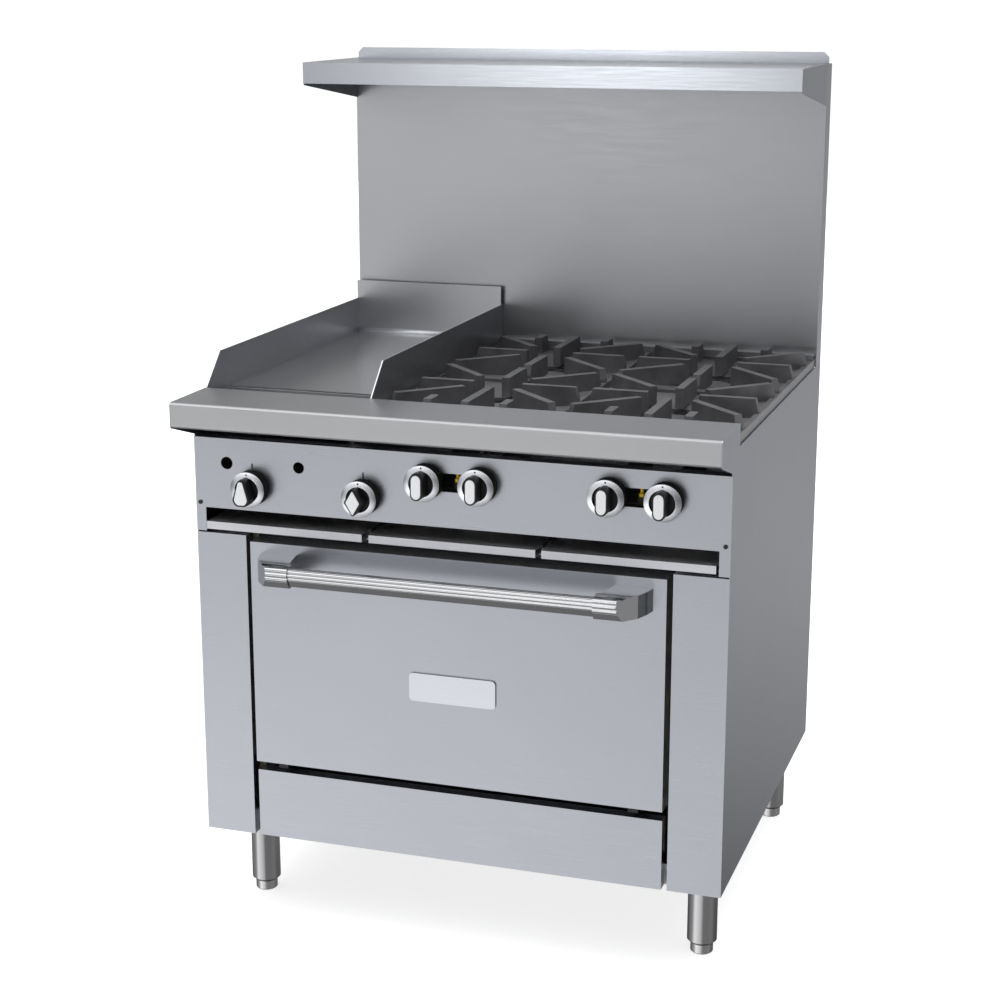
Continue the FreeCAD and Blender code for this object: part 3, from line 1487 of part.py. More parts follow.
def oven_rack():
    wire = P.rack_wire
    z = P.runner_first + P.runner_thick + P.rack_lift + wire
    half = P.rack_half - wire
    front, rear = P.rack_front + wire, P.rack_rear - wire
    pieces = []
    for side, x in (("left", -half), ("right", half)):
        depth = P.rack_rear - P.rack_front
        pieces.append(rod("rack_side_" + side, "y", (x, P.rack_front, z), depth, wire))
    for end, y in (("front", front), ("rear", rear)):
        pieces.append(rod("rack_end_" + end, "x", (-half - wire, y, z), 2 * (half + wire), wire))
    count = int(P.rack_bars.value)
    bar_z = z + wire
    for index in range(count):
        x = half * (2 * (index + 1) / (count + 1) - 1)
        start = (x, P.rack_front + wire, bar_z)
        pieces.append(rod("rack_bar_{}".format(index), "y", start, rear - front, P.rack_bar))
    subpart("oven_rack", fuse("rack", pieces))


# --- Door ----------------------------------------------------------------------------------


def door_panels():
    xs = (-P.door_half, P.door_half)
    zs = (P.door_bottom, P.door_top)
    wall = P.sheet
    skin = pan("skin_pan", xs, (P.door_front, P.door_skin_rear), zs, wall, "+y")
    subpart("door_skin", skin)
    rear = P.door_liner_rear
    front = rear - wall
    plate = box("door_liner_plate", xs, (front, rear), zs)
    plug = box(
        "door_plug",
        (-P.plug_half, P.plug_half),
        (front, P.plug_rear),
        (P.plug_low, P.plug_high),
    )
    hollow = box(
        "door_plug_room",
        (-P.plug_half + wall, P.plug_half - wall),
        (front - wall, P.plug_rear - wall),
        (P.plug_low + wall, P.plug_high - wall),
    )
    subpart("door_liner", cut("door_liner_pan", fuse("door_liner_blank", [plate, plug]), [hollow]))
    inset = P.padding_inset
    padding = box(
        "door_padding",
        (-P.door_half + inset, P.door_half - inset),
        (P.door_front + inset, front - inset),
        (P.door_bottom + inset, P.door_top - inset),
    )
    subpart("door_insulation", padding)


def hinge_brackets():
    half = P.eye_half
    xs = centred(P.hinge_x, half)
    eye = rod("eye_disc", "x", (xs[0], P.hinge_y, P.hinge_z), 2 * half, P.eye_radius)
    arm = box("bracket_arm", xs, (P.hinge_y, P.oven_front), centred(P.hinge_z, P.arm_half))
    bore = rod("eye_bore_tool", "x", (xs[0] - half, P.hinge_y, P.hinge_z), 4 * half, P.eye_bore)
    right = cut("bracket_right", fuse("bracket_blank", [eye, arm]), [bore])
    subpart("hinge_brackets", both_sides("brackets", right))


def door_hinges():
    inner = P.eye_half + P.lug_gap
    outer = inner + P.lug_thick
    pieces = []
    for side in (-1, 1):
        name = "outer" if side > 0 else "inner"
        low = P.hinge_x + (inner if side > 0 else -outer)
        disc = rod("lug_disc_" + name, "x", (low, P.hinge_y, P.hinge_z), P.lug_thick, P.eye_radius)
        ys = centred(P.hinge_y, P.eye_radius)
        web = box("lug_web_" + name, (low, low + P.lug_thick), ys, (P.hinge_z, P.door_bottom))
        pieces.extend((disc, web))
    start = (P.hinge_x - outer, P.hinge_y, P.hinge_z)
    pieces.append(rod("hinge_pin", "x", start, 2 * outer, P.pin_radius))
    subpart("door_hinges", both_sides("hinges", fuse("hinge_right", pieces)))


def ribbed_bar(name, xs, ys, zs, brow, pitch, radius):
    """A bar along X with three ribs on its front, a rounded brow and a sloping chin."""
    front, back = ys
    low, high = zs
    length = xs[1] - xs[0]
    lip = (front + P.chin_depth, low)
    chin = (front, low + P.chin_height)
    edge = ((back, low), lip, chin, (front, high), (back, high))
    core = extrusion(name + "_core", "YZ_Plane", edge, length, xs[0])
    round_edges(core, along_x_near((front, high)), brow)
    round_edges(core, along_x_near(lip), P.chin_round)
    pieces = [core]
    for index in (-1, 0, 1):
        y = front + P.rib_sink + abs(index) * P.rib_step_back
        z = P.rib_z + index * pitch
        pieces.append(rod("{}_rib_{}".format(name, index + 2), "x", (xs[0], y, z), length, radius))
    return fuse(name, pieces)


def handle():
    bar_xs = centred(0, P.bar_half)
    bar_ys = (P.bar_front, P.bar_back)
    bar_zs = (P.bar_low, P.bar_high)
    bar = ribbed_bar("bar", bar_xs, bar_ys, bar_zs, P.bar_brow, P.rib_pitch, P.rib_radius)
    subpart("handle_bar", bar)
    end_xs = (P.bar_half, P.arm_outer)
    end_ys = (P.bar_front - P.cap_growth, P.door_front)
    end_zs = (P.cap_low, P.cap_high)
    end_ribs = (P.cap_rib_pitch, P.cap_rib_radius)
    profile = ribbed_bar("end_profile", end_xs, end_ys, end_zs, P.cap_brow, *end_ribs)
    face = end_ys[0] + P.rib_sink - P.cap_rib_radius
    reach = P.door_front - face
    plan = (
        (P.bar_half, face),
        (P.cap_end, face),
        (P.arm_bend, face + reach * 0.42),
        (P.arm_curve, face + reach * 0.74),
        (P.arm_outer, P.door_front),
        (P.arm_inner, P.door_front),
        (P.arm_web, P.web_back),
        (P.bar_half, P.web_front),
    )
    shape = extrusion("end_plan", "XY_Plane", plan, P.cap_high - P.cap_low, P.cap_low)
    end = common("handle_end_right", profile, shape)
    subpart("handle_brackets", both_sides("handle_ends", end))


def badge():
    edge = []
    for side_x, side_z in ((-1, -1), (1, -1), (1, 1), (-1, 1)):
        edge.append((side_x * P.badge_half_width, P.badge_z + side_z * P.badge_half_height))
    plate = extrusion("badge", "XZ_Plane", edge, P.badge_thick, -P.door_front)
    round_edges(plate, runs_along(Vector(0, 1, 0)), P.badge_corner)
    subpart("badge_plate", plate)


# --- Assembly ------------------------------------------------------------------------------


def build():
    side_panels()
    plate_rail()
    control_panel()
    panel_screws()
    lower_covers()
    kick_panel()
    base_frame()
    back_panel()
    legs_and_feet()
    backguard()
    high_shelf()
    griddle()
    splash_guard()
    grease_trough()
    griddle_burner()
    cooktop_frame()
    grates()
    open_burners()
    gas_manifold()
    gas_valves()
    oven_thermostat()
    pilot_valves()
    gas_regulator()
    knobs()
    trays()
    tray_shelf()
    oven_liner()
    oven_deck()
    oven_insulation()
    oven_flue()
    oven_burner()
    rack_guides()
    oven_rack()
    door_panels()
    hinge_brackets()
    door_hinges()
    handle()
    badge()
    doc.recompute()


def check():
    """Stop if anything in the document failed or a sub-part isn't sound."""
    for obj in doc.Objects:
        if "Invalid" in obj.State or "Error" in obj.State:
            raise RuntimeError("{} failed: {}".format(obj.Label, obj.State))
    for obj in subparts:
        shape = obj.Shape
        if shape.isNull() or not shape.isValid() or not shape.Solids:
            raise RuntimeError("{} has no sound shape".format(obj.Label))


def export():
    os.makedirs("parts", exist_ok=True)
    for obj in subparts:
        obj.Shape.exportStep("parts/{}.step".format(obj.Label))


build()
check()
export()
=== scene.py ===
"""Looks of the commercial gas range: materials, edges, knobs, weld, floor, light and camera."""

import math

import bmesh
import bpy
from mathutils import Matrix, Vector


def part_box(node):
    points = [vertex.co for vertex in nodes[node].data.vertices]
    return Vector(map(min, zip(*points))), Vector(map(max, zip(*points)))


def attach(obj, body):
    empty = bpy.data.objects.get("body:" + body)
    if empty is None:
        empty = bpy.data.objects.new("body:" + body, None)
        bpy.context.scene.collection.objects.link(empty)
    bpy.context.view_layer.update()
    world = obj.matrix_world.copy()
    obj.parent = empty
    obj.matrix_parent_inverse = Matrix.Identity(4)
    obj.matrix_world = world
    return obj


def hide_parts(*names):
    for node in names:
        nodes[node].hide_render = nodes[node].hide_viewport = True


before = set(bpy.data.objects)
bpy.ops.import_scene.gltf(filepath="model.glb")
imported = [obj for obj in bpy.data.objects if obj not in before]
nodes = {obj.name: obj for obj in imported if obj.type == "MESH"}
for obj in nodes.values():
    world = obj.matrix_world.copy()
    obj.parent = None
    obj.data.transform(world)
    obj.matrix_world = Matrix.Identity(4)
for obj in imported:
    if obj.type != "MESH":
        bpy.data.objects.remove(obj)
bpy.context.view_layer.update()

MM = 0.001


# --- Node helpers --------------------------------------------------------------------------


def math_node(tree, operation, *values):
    """The result of a Math node whose inputs are numbers or outputs."""
    node = tree.nodes.new("ShaderNodeMath")
    node.operation = operation
    for socket, value in zip(node.inputs, values):
        if isinstance(value, (int, float)):
            socket.default_value = value
        else:
            tree.links.new(value, socket)
    return node.outputs[0]


def map_range(tree, value, spans, interpolation="LINEAR"):
    """A value that goes from before to after while the input goes from start to end."""
    node = tree.nodes.new("ShaderNodeMapRange")
    node.interpolation_type = interpolation
    for socket, number in zip(("From Min", "From Max", "To Min", "To Max"), spans):
        node.inputs[socket].default_value = number
    tree.links.new(value, node.inputs["Value"])
    return node.outputs["Result"]


def choose(tree, factor, otherwise, then):
    """A value that is otherwise at factor 0 and then at factor 1."""
    node = tree.nodes.new("ShaderNodeMix")
    tree.links.new(factor, node.inputs["Factor"])
    for socket, value in (("A", otherwise), ("B", then)):
        if isinstance(value, (int, float)):
            node.inputs[socket].default_value = value
        else:
            tree.links.new(value, node.inputs[socket])
    return node.outputs["Result"]


# --- Materials -----------------------------------------------------------------------------

# The part of a noise's range that holds nearly all of its values.
NOISE_SPAN = (0.3, 0.7)

# Stretches of the noise that leave streaks along one axis.
GRAINS = {"x": (1, 60, 60), "y": (60, 1, 60), "z": (60, 60, 1)}


class Shader:
    """A Principled material that is built node by node."""

    def __init__(self, name, color, metallic, roughness, **sockets):
        self.material = bpy.data.materials.new(name)
        self.material.use_nodes = True
        self.tree = self.material.node_tree
        self.surface = self.tree.nodes["Principled BSDF"]
        self.put("Base Color", (*color, 1))
        self.put("Metallic", metallic)
        self.put("Roughness", roughness)
        for socket, value in sockets.items():
            self.put(socket.replace("_", " "), value)
        self.place = self.add("ShaderNodeTexCoord").outputs["Object"]
        self.color = color

    def add(self, kind):
        return self.tree.nodes.new(kind)

    def put(self, socket, value):
        self.surface.inputs[socket].default_value = value

    def link(self, output, socket):
        self.tree.links.new(output, socket)

    def noise(self, scale, stretch=(1, 1, 1), detail=3, roughness=0.5):
        """Noise in the object's own space; scale is in waves per metre."""
        mapping = self.add("ShaderNodeMapping")
        mapping.inputs["Scale"].default_value = stretch
        self.link(self.place, mapping.inputs["Vector"])
        noise = self.add("ShaderNodeTexNoise")
        noise.inputs["Scale"].default_value = scale
        noise.inputs["Detail"].default_value = detail
        noise.inputs["Roughness"].default_value = roughness
        self.link(mapping.outputs["Vector"], noise.inputs["Vector"])
        return noise.outputs["Fac"]

    def vary_gloss(self, value, low, high):
        """Let a noise move the roughness from low to high."""
        roughness = map_range(self.tree, value, (*NOISE_SPAN, low, high))
        self.link(roughness, self.surface.inputs["Roughness"])

    def vary_color(self, value, dark, light):
        """Let a noise move the colour from dark to light, as factors of the base colour."""
        ramp = self.add("ShaderNodeValToRGB")
        stops = ramp.color_ramp.elements
        for stop, position, factor in zip(stops, NOISE_SPAN, (dark, light)):
            stop.position = position
            stop.color = (*(c * factor for c in self.color), 1)
        self.link(value, ramp.inputs["Fac"])
        self.link(ramp.outputs["Color"], self.surface.inputs["Base Color"])

    def bump(self, value, distance, strength=1.0):
        """Let a noise raise the surface; distance is in metres."""
        node = self.add("ShaderNodeBump")
        node.inputs["Distance"].default_value = distance
        node.inputs["Strength"].default_value = strength
        self.link(value, node.inputs["Height"])
        self.link(node.outputs["Normal"], self.surface.inputs["Normal"])


def brushed(name, color, roughness, grain, metallic=1.0):
    """Sheet steel with fine brushing along one axis and faint, broad unevenness."""
    shader = Shader(name, color, metallic, roughness)
    fine = shader.noise(14, GRAINS[grain], detail=4, roughness=0.6)
    broad = shader.noise(3.5, detail=2)
    shader.vary_gloss(fine, roughness - 0.03, roughness + 0.03)
    shader.vary_color(broad, 0.985, 1.015)
    shader.bump(fine, 0.000002)
    return shader.material


def scaled_where(material, field, axis, spans):
    """Scale the base colour along one axis of the Normal or Object field, without its sign; on
    the Normal field this paints light and shade by the way a face points.
    """
    tree = material.node_tree
    surface = tree.nodes["Principled BSDF"]
    source = surface.inputs["Base Color"].links[0].from_socket
    split = tree.nodes.new("ShaderNodeSeparateXYZ")
    tree.links.new(tree.nodes.new("ShaderNodeTexCoord").outputs[field], split.inputs[0])
    amount = map_range(tree, math_node(tree, "ABSOLUTE", split.outputs[axis]), spans)
    scaled = tree.nodes.new("ShaderNodeVectorMath")
    scaled.operation = "SCALE"
    tree.links.new(source, scaled.inputs[0])
    tree.links.new(amount, scaled.inputs["Scale"])
    tree.links.new(scaled.outputs["Vector"], surface.inputs["Base Color"])
    return material


def polished(name, color, roughness, scale=300):
    """Bright metal with faint wear in its gloss."""
    shader = Shader(name, color, 1.0, roughness)
    wear = shader.noise(scale, detail=4)
    shader.vary_gloss(wear, roughness * 0.9, roughness * 1.15)
    shader.bump(wear, 0.000001)
    return shader.material


def casting(name, color, roughness):
    """Cast iron: a sandy skin with darker and lighter patches."""
    shader = Shader(name, color, 0.1, roughness, Specular_IOR_Level=0.2)
    sand = shader.noise(900)
    patches = shader.noise(22, detail=4)
    shader.vary_gloss(patches, roughness - 0.08, roughness + 0.08)
    shader.vary_color(patches, 0.8, 1.25)
    shader.bump(sand, 0.00025, 0.6)
    return shader.material


def spangled(name, color, roughness):
    """Zinc-coated sheet with flat crystals about 15 mm across."""
    shader = Shader(name, color, 0.9, roughness)
    crystals = shader.add("ShaderNodeTexVoronoi")
    crystals.inputs["Scale"].default_value = 65
    shader.link(shader.place, crystals.inputs["Vector"])
    shade = shader.add("ShaderNodeSeparateColor")
    shader.link(crystals.outputs["Color"], shade.inputs["Color"])
    shader.vary_gloss(shade.outputs["Green"], roughness - 0.06, roughness + 0.06)
    shader.vary_color(shade.outputs["Red"], 0.93, 1.06)
    return shader.material


def moulded(name, color, roughness, grain=1500):
    """Moulded plastic or paint with a fine skin."""
    shader = Shader(name, color, 0.0, roughness)
    skin = shader.noise(grain, detail=2)
    shader.vary_gloss(skin, roughness - 0.05, roughness + 0.05)
    shader.vary_color(shader.noise(30), 0.94, 1.06)
    shader.bump(skin, 0.00002, 0.5)
    return shader.material


def woolly(name, color):
    """Mineral wool with long, dull fibres."""
    shader = Shader(name, color, 0.0, 0.9, Sheen_Weight=0.2)
    fibres = shader.noise(500, (1, 1, 6), detail=6)
    shader.vary_color(fibres, 0.7, 1.1)
    shader.bump(fibres, 0.0008)
    return shader.material


STEEL = (0.508, 0.526, 0.569)

# Where scaled_where scales a colour, as start, end, before and after: faces of the side sheets
# and the splash guard that point up or down, edges among them, are painted lighter as a painted
# highlight; the badge's front is painted lighter than its bevelled rim, painted light and shade;
# and the pilots come out dark below 800 mm.
SIDE_PAINTED_HIGHLIGHT = (0.3, 0.8, 1.0, 1.7)
SPLASH_PAINTED_HIGHLIGHT = (0.2, 0.4, 1.0, 1.8)
BADGE_PAINTED_LIGHT = (0.9, 0.97, 1.0, 3.8)
PILOT_TOP = (0.799, 0.801, 0.02, 1.0)

finishes = {
    "front_steel": brushed("front_steel", STEEL, 0.3, "x"),
    # Faces that point up or down are painted up to 1.7 times lighter: a painted highlight on the
    # sheets' edges.
    "side_steel": scaled_where(
        brushed("side_steel", (0.42, 0.436, 0.482), 0.36, "z"), "Normal", "Z", SIDE_PAINTED_HIGHLIGHT
    ),
    "top_steel": brushed("top_steel", (0.5, 0.505, 0.52), 0.34, "x", 0.85),
    # Faces that point up or down are painted up to 1.8 times lighter: a painted highlight on the
    # guard's edges.
    "splash_steel": scaled_where(
        brushed("splash_steel", (0.49, 0.50, 0.525), 0.3, "y", 0.96), "Normal", "Z", SPLASH_PAINTED_HIGHLIGHT
    ),
    "dull_steel": brushed("dull_steel", (0.26, 0.26, 0.27), 0.42, "x", 0.5),
    "tray_steel": brushed("tray_steel", (0.66, 0.67, 0.71), 0.34, "x", 0.6),
    "guard_steel": brushed("guard_steel", (0.485, 0.495, 0.52), 0.34, "x"),
    "shelf_steel": brushed("shelf_steel", STEEL, 0.22, "x"),
    "galvanised": spangled("galvanised", (0.56, 0.57, 0.58), 0.45),
    "griddle_steel": brushed("griddle_steel", (0.56, 0.565, 0.58), 0.22, "y", 0.915),
    "bright_steel": polished("bright_steel", (0.62, 0.625, 0.64), 0.14, 60),
    "leg_steel": brushed("leg_steel", (0.49, 0.485, 0.495), 0.2, "z"),
    "dark_steel": polished("dark_steel", (0.06, 0.06, 0.062), 0.45),
    "foot_steel": polished("foot_steel", (0.62, 0.61, 0.62), 0.24),
    "cast_iron": casting("cast_iron", (0.13, 0.13, 0.136), 0.5),
    "gas_pipe": moulded("gas_pipe", (0.02, 0.02, 0.021), 0.45),
    "brass": polished("brass", (0.8, 0.56, 0.05), 0.3),
    "pilot_brass": scaled_where(
        casting("pilot_brass", (0.8, 0.54, 0.04), 0.3), "Object", "Z", PILOT_TOP
    ),
    "enamel": moulded("enamel", (0.03, 0.03, 0.038), 0.2, 200),
    "insulation": woolly("insulation", (0.62, 0.58, 0.42)),
    "knob_black": moulded("knob_black", (0.01, 0.01, 0.011), 0.5),
    # A darker, rougher copy of the knob black for the skirt: painted shade.
    "knob_skirt_shade": moulded("knob_skirt_shade", (0.003, 0.003, 0.003), 0.75),
    "knob_ring": polished("knob_ring", (0.93, 0.95, 1.0), 0.22),
    "knob_grip": polished("knob_grip", (0.95, 0.955, 0.98), 0.3),
    # Front and back faces are painted 3.8 times lighter than the bevelled rim: painted light on
    # the face, painted shade on the rim.
    "badge_face": scaled_where(
        brushed("badge_face", (0.2, 0.206, 0.222), 0.3, "x"), "Normal", "Y", BADGE_PAINTED_LIGHT
    ),
    "marking": moulded("marking", (0.12, 0.12, 0.125), 0.5),
}

NODE_FINISHES = {
    "front_steel": (
        "control_panel",
        "lower_cover_left",
        "lower_cover_right",
        "kick_panel",
        "door_skin",
    ),
    "tray_steel": ("grease_drawer", "drip_tray_center", "drip_tray_right"),
    "side_steel": ("side_panel_left", "side_panel_right", "shelf_gussets"),
    "top_steel": ("plate_rail", "grease_trough"),
    "splash_steel": ("griddle_splash_guard",),
    "dull_steel": ("cooktop_frame",),
    "guard_steel": ("backguard_front",),
    "shelf_steel": ("high_shelf",),
    "galvanised": ("back_panel", "base_frame", "backguard_rear", "tray_shelf", "oven_flue"),
    "griddle_steel": ("griddle_plate",),
    "bright_steel": ("rack_guides", "handle_bar", "handle_brackets", "oven_rack"),
    "leg_steel": ("legs",),
    "dark_steel": ("panel_screws", "hinge_brackets", "door_hinges"),
    "foot_steel": ("foot_front_left", "foot_front_right", "foot_rear_left", "foot_rear_right"),
    "cast_iron": (
        "burner_bases",
        "burner_caps",
        "grate_front_left",
        "grate_front_right",
        "grate_rear_left",
        "grate_rear_right",
    ),
    "gas_pipe": ("griddle_burner", "gas_manifold", "gas_regulator", "oven_burner"),
    "brass": ("gas_valves", "oven_thermostat"),
    "pilot_brass": ("pilot_valves",),
    "enamel": ("oven_liner", "oven_deck", "door_liner"),
    "insulation": ("oven_insulation", "door_insulation"),
    "badge_face": ("badge_plate",),
}

# Widths of the softened edges in mm, by the start of the node's name.
BEVELS = {
    "grate": 1.2,
    "burner": 1.0,
    "leg": 0.6,
    "foot": 0.6,
    "handle": 0.8,
    "griddle_plate": 1.2,
    "badge": 1.8,
    "plate_rail": 2.2,
    "griddle_splash": 0.9,
    "high_shelf": 1.2,
}
OTHER_BEVEL = 0.5
BEVEL_SEGMENTS = 2
SHARP_DEGREES = 40


def finish_node(name, finish):
    """Give a CAD node its material and soften its edges."""
    obj = nodes[name]
    obj.data.materials.clear()
    obj.data.materials.append(finishes[finish])
    width = OTHER_BEVEL
    for start, size in BEVELS.items():
        if name.startswith(start):
            width = size
    bevel = obj.modifiers.new("edges", "BEVEL")
    bevel.width = width * MM
    bevel.segments = BEVEL_SEGMENTS
    bevel.limit_method = "ANGLE"
    bevel.angle_limit = math.radians(SHARP_DEGREES)
    bevel.harden_normals = True


for finish, names in NODE_FINISHES.items():
    for name in names:
        finish_node(name, finish)


# --- Outlines and meshes -------------------------------------------------------------------


def rounded(profile, radius, steps=4):
    """Round the inner corners of an open profile."""
    out = [profile[0]]
    for before, corner, after in zip(profile, profile[1:], profile[2:]):
        a, b, c = (Vector(p) for p in (before, corner, after))
        # A little under half of each side, so that neighbouring corners stay apart.
        reach = min(radius, (a - b).length / 2.2, (c - b).length / 2.2)
        start = b + (a - b).normalized() * reach
        end = b + (c - b).normalized() * reach
        for step in range(steps + 1):
            t = step / steps
            point = start * (1 - t) ** 2 + b * 2 * t * (1 - t) + end * t * t
            out.append(tuple(point))
    out.append(profile[-1])
    return out


def rounded_polygon(corners, radius, steps=6):
    """A closed polygon with rounded corners."""
    closed = list(corners[-1:]) + list(corners) + list(corners[:1])
    out = []
    for before, corner, after in zip(closed, closed[1:], closed[2:]):
        part = rounded([before, corner, after], radius, steps)
        out.extend(part[1:-1])
    return out


def pill(half_width, half_height, steps=12):
    """Corners of an upright slot shape, counter-clockwise."""
    corners = []
    straight = half_height - half_width
    for end, first in ((1, 0), (-1, math.pi)):
        for step in range(steps + 1):
            angle = first + math.pi * step / steps
            x = half_width * math.cos(angle)
            z = end * straight + half_width * math.sin(angle)
            corners.append((x, z))
    return corners


def bridge(bm, first, second, steps):
    """Faces all round between two rings of vertices; a ring of one vertex is a tip."""
    faces = []
    for step in range(steps):
        after = (step + 1) % steps
        corners = [
            first[step % len(first)],
            first[after % len(first)],
            second[after % len(second)],
            second[step % len(second)],
        ]
        faces.append(bm.faces.new(list(dict.fromkeys(corners))))
    return faces


def closed_mesh(name, bm):
    """Turn the faces outwards and keep the result as a mesh."""
    bmesh.ops.recalc_face_normals(bm, faces=bm.faces)
    mesh = bpy.data.meshes.new(name)
    bm.to_mesh(mesh)
    bm.free()
    return mesh


def turned_mesh(name, centre, profile, steps=72):
    """A mesh turned about a Y axis through centre, from (radius, y) corners in mm."""
    bm = bmesh.new()
    rings = []
    for radius, depth in profile:
        if radius == 0:
            rings.append([bm.verts.new(centre + Vector((0, depth * MM, 0)))])
            continue
        ring = []
        for step in range(steps):
            angle = 2 * math.pi * step / steps
            offset = Vector((radius * math.cos(angle), depth, radius * math.sin(angle)))
            ring.append(bm.verts.new(centre + offset * MM))
        rings.append(ring)
    for first, second in zip(rings, rings[1:]):
        for face in bridge(bm, first, second, steps):
            face.smooth = True
    return closed_mesh(name, bm)


def slab_mesh(name, centre, corners, back, front, inset, bevel):
    """A plate in the XZ plane from y=back to y=front, its front face drawn in by inset."""
    bm = bmesh.new()
    # The front edge is rounded in two steps, from the bevel's back to the front face.
    layers = [
        (back, 0.0),
        (front + bevel, inset * 0.6),
        (front + bevel * 0.3, inset * 0.75),
        (front, inset),
    ]
    count = len(corners)
    middle = Vector((sum(x for x, z in corners), sum(z for x, z in corners))) / count
    rings = []
    for depth, pull in layers:
        ring = []
        for x, z in corners:
            away = Vector((x, z)) - middle
            point = middle + away * (1 - pull / away.length)
            ring.append(bm.verts.new(centre + Vector((point.x, depth, point.y)) * MM))
        rings.append(ring)
    for first, second in zip(rings, rings[1:]):
        for face in bridge(bm, first, second, count):
            face.smooth = True
    bm.faces.new(rings[0])
    bm.faces.new(rings[-1])
    return closed_mesh(name, bm)


# --- Pieces --------------------------------------------------------------------------------


def new_piece(name, mesh, finish, body):
    """A visible piece that rides on a body."""
    piece = bpy.data.objects.new(name, mesh)
    bpy.context.scene.collection.objects.link(piece)
    mesh.materials.append(finishes[finish])
    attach(piece, body)
    return piece


# Outlines of the grips, as (x, z) corners in mm.
GRIPS = {
    "pill": pill(10.2, 22.2),
    "drop": rounded_polygon(
        [(-15.6, -13), (-9, -22), (9, -22), (15.6, -13), (4.4, 22.5), (-4.4, 22.5)], 4.5
    ),
    "diamond": rounded_polygon([(0, -23), (15.6, 0), (0, 23), (-15.6, 0)], 2.6),
}

# The knob's turned parts: (radius, y) corners and corner rounding in mm, finish and slot.
# The base wears the darker knob black, painted shade on the skirt.
KNOB_BASE = ([(4.05, -1), (29.4, -1), (29.4, -21.2), (21, -21.2)], 1.0, "knob_skirt_shade", "knob")
KNOB_RING = (
    [(20.4, -21), (30, -21), (30, -22.4), (20.8, -25), (20.4, -24)],
    0.7,
    "knob_ring",
    "knob_ring",
)
KNOB_DISH = ([(20.9, -24), (20.2, -24), (19.2, -20.9), (0, -20.9)], 1.0, "knob_black", "knob")

# Back, front, inset and bevel of the grip, its cap and the panel's ticks, in mm.
GRIP_SLAB = (-20.5, -47.3, 0.5, 0.6)
CAP_SLAB = (-46.5, -47.9, 0.4, 0.5)
TICK_SLAB = (0.6, -1.2, 0.1, 0.1)

CAP_WIDTH, CAP_HEIGHT = 0.78, 0.88  # of the grip's
DOT_PROFILE = [(1.4, -23), (1.4, -24.3), (0, -24.4)]
DOT_STEPS = 24
DOT_RISE = 26
TICK_RISE = 35
KNOB_GAP = 1  # between the CAD knob's back and the profiles' zero


def knob(name, shape):
    """A knob with a black base painted darker than the dish as painted shade, a bright ring, a
    black dish and a capped grip.
    """
    body = "knob_" + name
    low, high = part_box(body)
    centre = Vector(((low.x + high.x) / 2, high.y + KNOB_GAP * MM, (low.z + high.z) / 2))

    def turned(part, settings):
        profile, rounding, finish, slot = settings
        mesh = turned_mesh(body + part, centre, rounded(profile, rounding))
        return new_piece(body + part, mesh, finish, body)

    whole = turned("_base", KNOB_BASE)
    turned("_ring", KNOB_RING)
    turned("_dish", KNOB_DISH)
    corners = GRIPS[shape]
    mesh = slab_mesh(body + "_grip", centre, corners, *GRIP_SLAB)
    new_piece(body + "_grip", mesh, "knob_black", body)
    inner = [(x * CAP_WIDTH, z * CAP_HEIGHT) for x, z in corners]
    mesh = slab_mesh(body + "_cap", centre, inner, *CAP_SLAB)
    new_piece(body + "_cap", mesh, "knob_grip", body)
    dot = centre + Vector((0, 0, DOT_RISE)) * MM
    mesh = turned_mesh(body + "_dot", dot, DOT_PROFILE, DOT_STEPS)
    new_piece(body + "_dot", mesh, "marking", body)
    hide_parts(body)
    return centre


KNOBS = {
    "griddle": "drop",
    "oven": "diamond",
    "front_left": "pill",
    "rear_left": "pill",
    "front_right": "pill",
    "rear_right": "pill",
}
knob_centres = {name: knob(name, shape) for name, shape in KNOBS.items()}
tick_outline = pill(1.0, 5.0, 6)
for name in ("griddle", "oven"):
    place = knob_centres[name] + Vector((0, 0, TICK_RISE * MM))
    tick = slab_mesh("tick_" + name, place, tick_outline, *TICK_SLAB)
    new_piece("tick_" + name, tick, "marking", "range_body")

WELD_RADIUS = 7
WELD_STEPS = 10


def weld_bead():
    """The hollow fillet weld between the griddle plate and the wall behind it."""
    low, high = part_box("griddle_plate")
    radius = WELD_RADIUS * MM
    bm = bmesh.new()
    rows = []
    for x in (low.x, high.x):
        row = [bm.verts.new((x, high.y, high.z))]
        for step in range(WELD_STEPS + 1):
            angle = math.pi / 2 * step / WELD_STEPS
            back = radius * (1 - math.sin(angle))
            up = radius * (1 - math.cos(angle))
            row.append(bm.verts.new((x, high.y - back, high.z + up)))
        rows.append(row)
    faces = bridge(bm, *rows, len(rows[0]))
    # The first and the last face lie flat on the plate and on the wall.
    for face in faces[1:-1]:
        face.smooth = True
    for row in rows:
        bm.faces.new(row)
    mesh = closed_mesh("griddle_weld", bm)
    new_piece("griddle_weld", mesh, "tray_steel", "range_body")


weld_bead()


# --- Light, floor and camera ---------------------------------------------------------------

FLOOR_REACH = 12
FLOOR_GLOW = 0.75  # lifts the floor to near white

